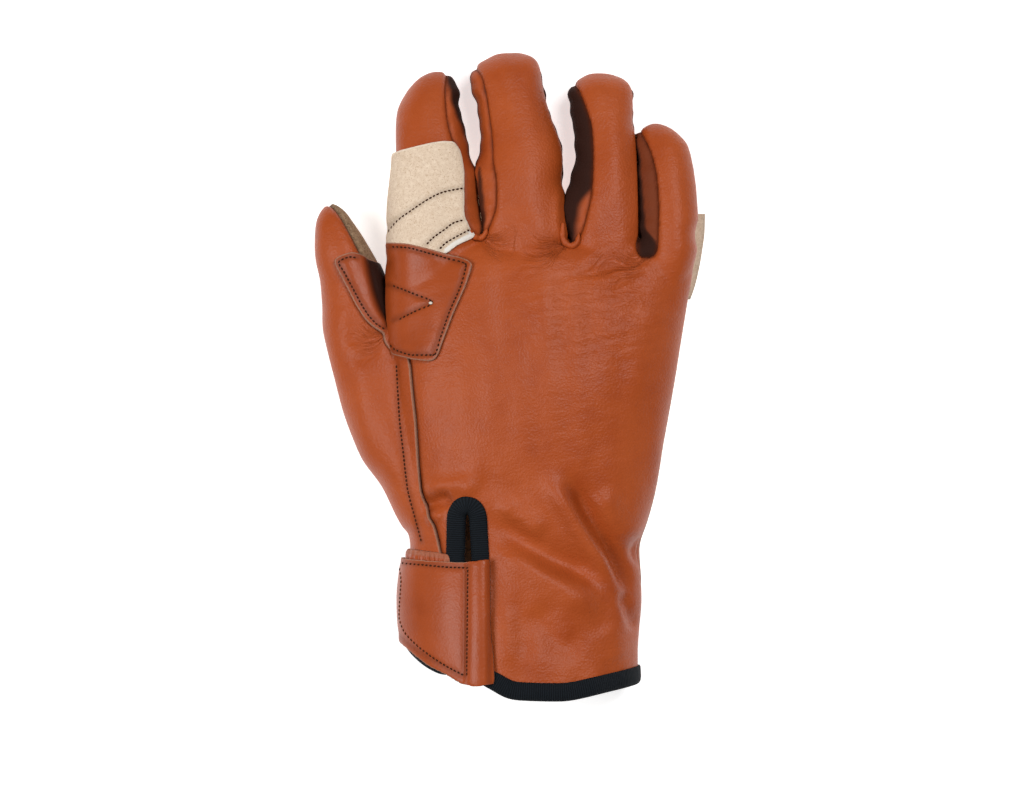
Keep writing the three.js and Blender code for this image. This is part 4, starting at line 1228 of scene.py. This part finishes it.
def edgeLoop(mesh):  # the points of a sheet's one edge, in order round it
    work = bmesh.new()
    work.from_mesh(mesh)
    border = [edge for edge in work.edges if len(edge.link_faces) == 1]
    nextTo = {}
    for edge in border:
        for vert in edge.verts:
            nextTo.setdefault(vert, []).append(edge.other_vert(vert))
    start = border[0].verts[0]
    path, before, here = [start], None, start
    while True:
        onward = [vert for vert in nextTo[here] if vert is not before]
        before, here = here, onward[0]
        if here is start:
            break
        path.append(here)
    places = np.array([tuple(vert.co) for vert in path])
    work.free()
    return places


def evenSteps(path, step):  # a closed path as points at equal steps
    closed = np.vstack([path, path[:1]])
    length = lengthAlong(closed)
    count = int(length[-1] / step)
    at = np.linspace(0, length[-1], count, endpoint=False)
    return np.column_stack([np.interp(at, length, closed[:, k]) for k in range(3)]), length[-1] / count


formKd = KDTree(len(formPoints))
for number, point in enumerate(formPoints):
    formKd.insert(point, number)
formKd.balance()


def surfaceAt(place):  # the nearest place of the form, with its outward direction
    found = formTree.find_nearest(Vector(place))
    near = [formNormals[number] for _, number, _ in formKd.find_n(place, 6)]
    normal = np.mean(near, axis=0)
    return np.array(found[0]), normal / np.linalg.norm(normal)


def makeTape():
    whole = cutSheet("cuffWhole", cuffInside - tape["middle"])
    path, _ = evenSteps(edgeLoop(whole), 0.5)
    bpy.data.meshes.remove(whole)
    for _ in range(16):
        path = (path + np.roll(path, 1, axis=0) + np.roll(path, -1, axis=0)) / 3
    path, step = evenSteps(path, tape["step"])
    ahead = np.roll(path, -1, axis=0) - np.roll(path, 1, axis=0)
    ahead /= np.linalg.norm(ahead, axis=1)[:, None]
    normals = np.array([surfaceAt(place)[1] for place in path])
    inward = np.cross(normals, ahead)
    if np.mean(cuffField(path + inward) - cuffField(path)) < 0:
        inward = -inward
    found = [surfaceAt(place + way * (deep - tape["middle"]))
             for place, way in zip(path, inward) for deep, _ in tape["section"]]
    places, ups = (np.array(part) for part in zip(*found))
    heights = np.tile([high for _, high in tape["section"]], len(path)) + foldLift(places, ups)
    rings = (places + ups * heights[:, None]).reshape(len(path), -1, 3)
    mesh = bmesh.new()
    along = mesh.verts.layers.float.new("alongTape")
    for number, row in enumerate(addLoft(mesh, rings, isEndless=True)):
        for vert in row:
            vert[along] = number * step
    bmesh.ops.recalc_face_normals(mesh, faces=mesh.faces)
    joinPiece(mesh, "cuffTape", grosgrain, "grosgrain", "cuff_tape")
    print("tape:", len(path), "sections")


makeTape()

# The corner of the palm's suede that stands out beside the little finger
tab = {"outer": px((706, 213), (705.5, 230), (703, 250), (699, 272), (695, 288), (691, 299)), "height": 11.4,
       "wall": 1.2, "widest": 10.0, "rows": 24, "columns": 4}


def makeTab():
    mesh = bmesh.new()
    bmesh.ops.create_grid(mesh, x_segments=tab["columns"], y_segments=tab["rows"], size=1.0)
    outer = tab["outer"]
    low, high = outer[:, 1].min(), outer[:, 1].max()
    for vert in mesh.verts:
        y = low + (high - low) * (vert.co.y + 1) / 2
        height = tab["height"] + 0.5 * math.sin(y / 6.0)
        edge = xAt(outer, np.array([y]))[0]
        hit = formTree.ray_cast(Vector((100.0, y, height)), Vector((-1.0, 0.0, 0.0)))[0]
        inner = min(max(hit.x + 0.4, edge - tab["widest"]), edge - 0.5)
        vert.co = Vector((inner + (edge - inner) * (vert.co.x + 1) / 2, y, height))
    bmesh.ops.recalc_face_normals(mesh, faces=mesh.faces)
    bmesh.ops.solidify(mesh, geom=list(mesh.faces), thickness=tab["wall"])
    joinPiece(mesh, "suedeTab", suede, "suede")
    print("tab")


makeTab()


def fromAbove(sheet, x, y):  # where a line straight down meets a sheet, and its outward direction there
    return sheetTrees[sheet].ray_cast(Vector((x, y, 90.0)), Vector((0.0, 0.0, -1.0)))


# Leather that folds over itself where two fingers part: a roll along a line of the photograph
crotchRolls = {
    "rollIndexMiddle": (1.1, px((467.5, 226), (470, 233), (474.5, 237.5), (480, 239), (484.5, 236),
                                (487, 230))),
    "rollMiddleRing": (1.15, px((562.5, 224), (562, 236), (565, 244), (571, 247), (576.5, 243.5),
                                (578.5, 235))),
}
rolling = {"rings": 34, "points": 12, "reach": 2.2, "lost": 20.0, "smoothing": 30, "sink": 0.55, "taper": 9.0}


def makeRoll(name, radius, path):
    places = placesAlong(path, np.linspace(0, lengthAlong(path)[-1], rolling["rings"]))
    reach = rolling["reach"]
    heights = []
    for x, y in places:
        near = [fromAbove("backOfHand", x + dx, y + dy)[0]
                for dx, dy in ((0, 0), (reach, 0), (-reach, 0), (0, -reach))]
        heights.append(max([hit.z for hit in near if hit] or [rolling["lost"]]))
    for _ in range(rolling["smoothing"]):
        heights = np.convolve(np.pad(heights, 1, mode="edge"), (0.25, 0.5, 0.25), mode="valid")
    line = np.column_stack([places, np.array(heights) - rolling["sink"] * radius])
    angle = np.linspace(0, 2 * np.pi, rolling["points"], endpoint=False)
    circle = np.column_stack([-np.sin(angle), np.cos(angle), np.zeros(len(angle))])
    rings = []
    for number, (place, way) in enumerate(zip(line, np.gradient(line, axis=0))):
        turn = np.array(Vector(way).to_track_quat("Z", "Y").to_matrix())
        end = min(number, len(line) - 1 - number) / rolling["taper"]
        thick = radius * math.sqrt(min(1.0, 0.15 + end)) * (1 + 0.1 * math.sin(number * 0.9))
        rings.append(place + thick * circle @ turn.T)
    mesh = bmesh.new()
    addLoft(mesh, rings)
    bmesh.ops.recalc_face_normals(mesh, faces=mesh.faces)
    joinPiece(mesh, name, sideStrip, "side_strip")
    print("roll:", name)


for name, (radius, path) in crotchRolls.items():
    makeRoll(name, radius, path)


# Every stitch is a small bead of thread that lies along its line, on the sheet that carries it
def makeStitches():
    mesh = bmesh.new()
    count = 0
    for line in stitchLines:
        pitch = line.get("pitch", stitching["pitch"])
        places = placesAlong(line["path"], np.arange(pitch * 0.5, lengthAlong(line["path"])[-1], pitch))
        for (x, y), (dx, dy) in zip(places, np.gradient(places, axis=0)):
            hit, normal, _, _ = fromAbove(line["on"], x, y)
            if hit is None:
                continue
            tangent = Vector((dx, dy, 0.0))
            tangent = (tangent - normal * tangent.dot(normal)).normalized()
            sideways = normal.cross(tangent).normalized()
            turn = Matrix((tangent, sideways, normal)).transposed().to_4x4()
            place = hit + normal * stitching["lift"]
            addBall(mesh, place, stitching["radii"], turn, u_segments=6, v_segments=4)
            count += 1
    joinPiece(mesh, "stitches", thread, "grosgrain")
    print("stitches:", count)


makeStitches()


# The knot of pale thread at the tip of the pointed stitches
knot = {"at": px((431.5, 304))[0], "lift": 0.3, "radii": (0.75, 0.55, 0.5)}


def makeKnot():
    hit = fromAbove("thumbPatch", *knot["at"])[0]
    mesh = bmesh.new()
    addBall(mesh, hit + Vector((0, 0, knot["lift"])), knot["radii"], u_segments=12, v_segments=8)
    joinPiece(mesh, "threadEnd", paleThread, "suede")


makeKnot()

# The floor, the light and the camera, in metres
studio = {
    "lamps": {
        "key": {"place": (0.40, 0.43, 1.12), "size": 0.52, "power": 8.6},
        "fill": {"place": (-0.68, -0.10, 1.02), "size": 0.55, "power": 8.6},
    },
    "world": 0.15, "distance": 2.0, "sensor": 36.0, "focus": (512.0, 405.0), "height": 0.02, "glow": 0.6,
    "floor": 3.0, "paper": 0.9, "farthest": 20.0,
}
white = (1.0, 1.0, 1.0, 1.0)


def makeStudio():
    mesh = bmesh.new()
    bmesh.ops.create_grid(mesh, x_segments=2, y_segments=2, size=studio["floor"])
    floorMesh = bpy.data.meshes.new("floor")
    mesh.to_mesh(floorMesh)
    mesh.free()
    paper = Finish("paper", studio["paper"])
    paper.colour((studio["paper"], studio["paper"], studio["paper"], 1.0))
    paper.shader.inputs["Emission Color"].default_value = white
    paper.shader.inputs["Emission Strength"].default_value = studio["glow"]
    floorMesh.materials.append(paper.material)
    addObject("floor", floorMesh)
    middle = Vector((0.0, 0.0, studio["height"]))
    for name, lamp in studio["lamps"].items():
        light = bpy.data.lights.new(name, "AREA")
        light.shape = "DISK"
        light.size = lamp["size"]
        light.energy = lamp["power"]
        holder = addObject(name, light)
        holder.location = lamp["place"]
        holder.rotation_euler = (middle - Vector(lamp["place"])).to_track_quat("-Z", "Y").to_euler()
    world = bpy.data.worlds.new("studio")
    world.use_nodes = True
    sky = world.node_tree.nodes["Background"].inputs
    sky["Color"].default_value = white
    sky["Strength"].default_value = studio["world"]
    bpy.context.scene.world = world
    bpy.context.scene.view_settings.view_transform = "Standard"
    lens = bpy.data.cameras.new("camera")
    lens.sensor_width = studio["sensor"]
    lens.lens = studio["sensor"] * studio["distance"] / (photo["width"] * photo["scale"] / 1000.0)
    lens.clip_end = studio["farthest"]
    camera = addObject("camera", lens)
    focus = px(studio["focus"])[0] + shift[:2]
    camera.location = (focus[0] / 1000.0, focus[1] / 1000.0, studio["distance"] + studio["height"])
    bpy.context.scene.camera = camera


makeStudio()
print("studio")
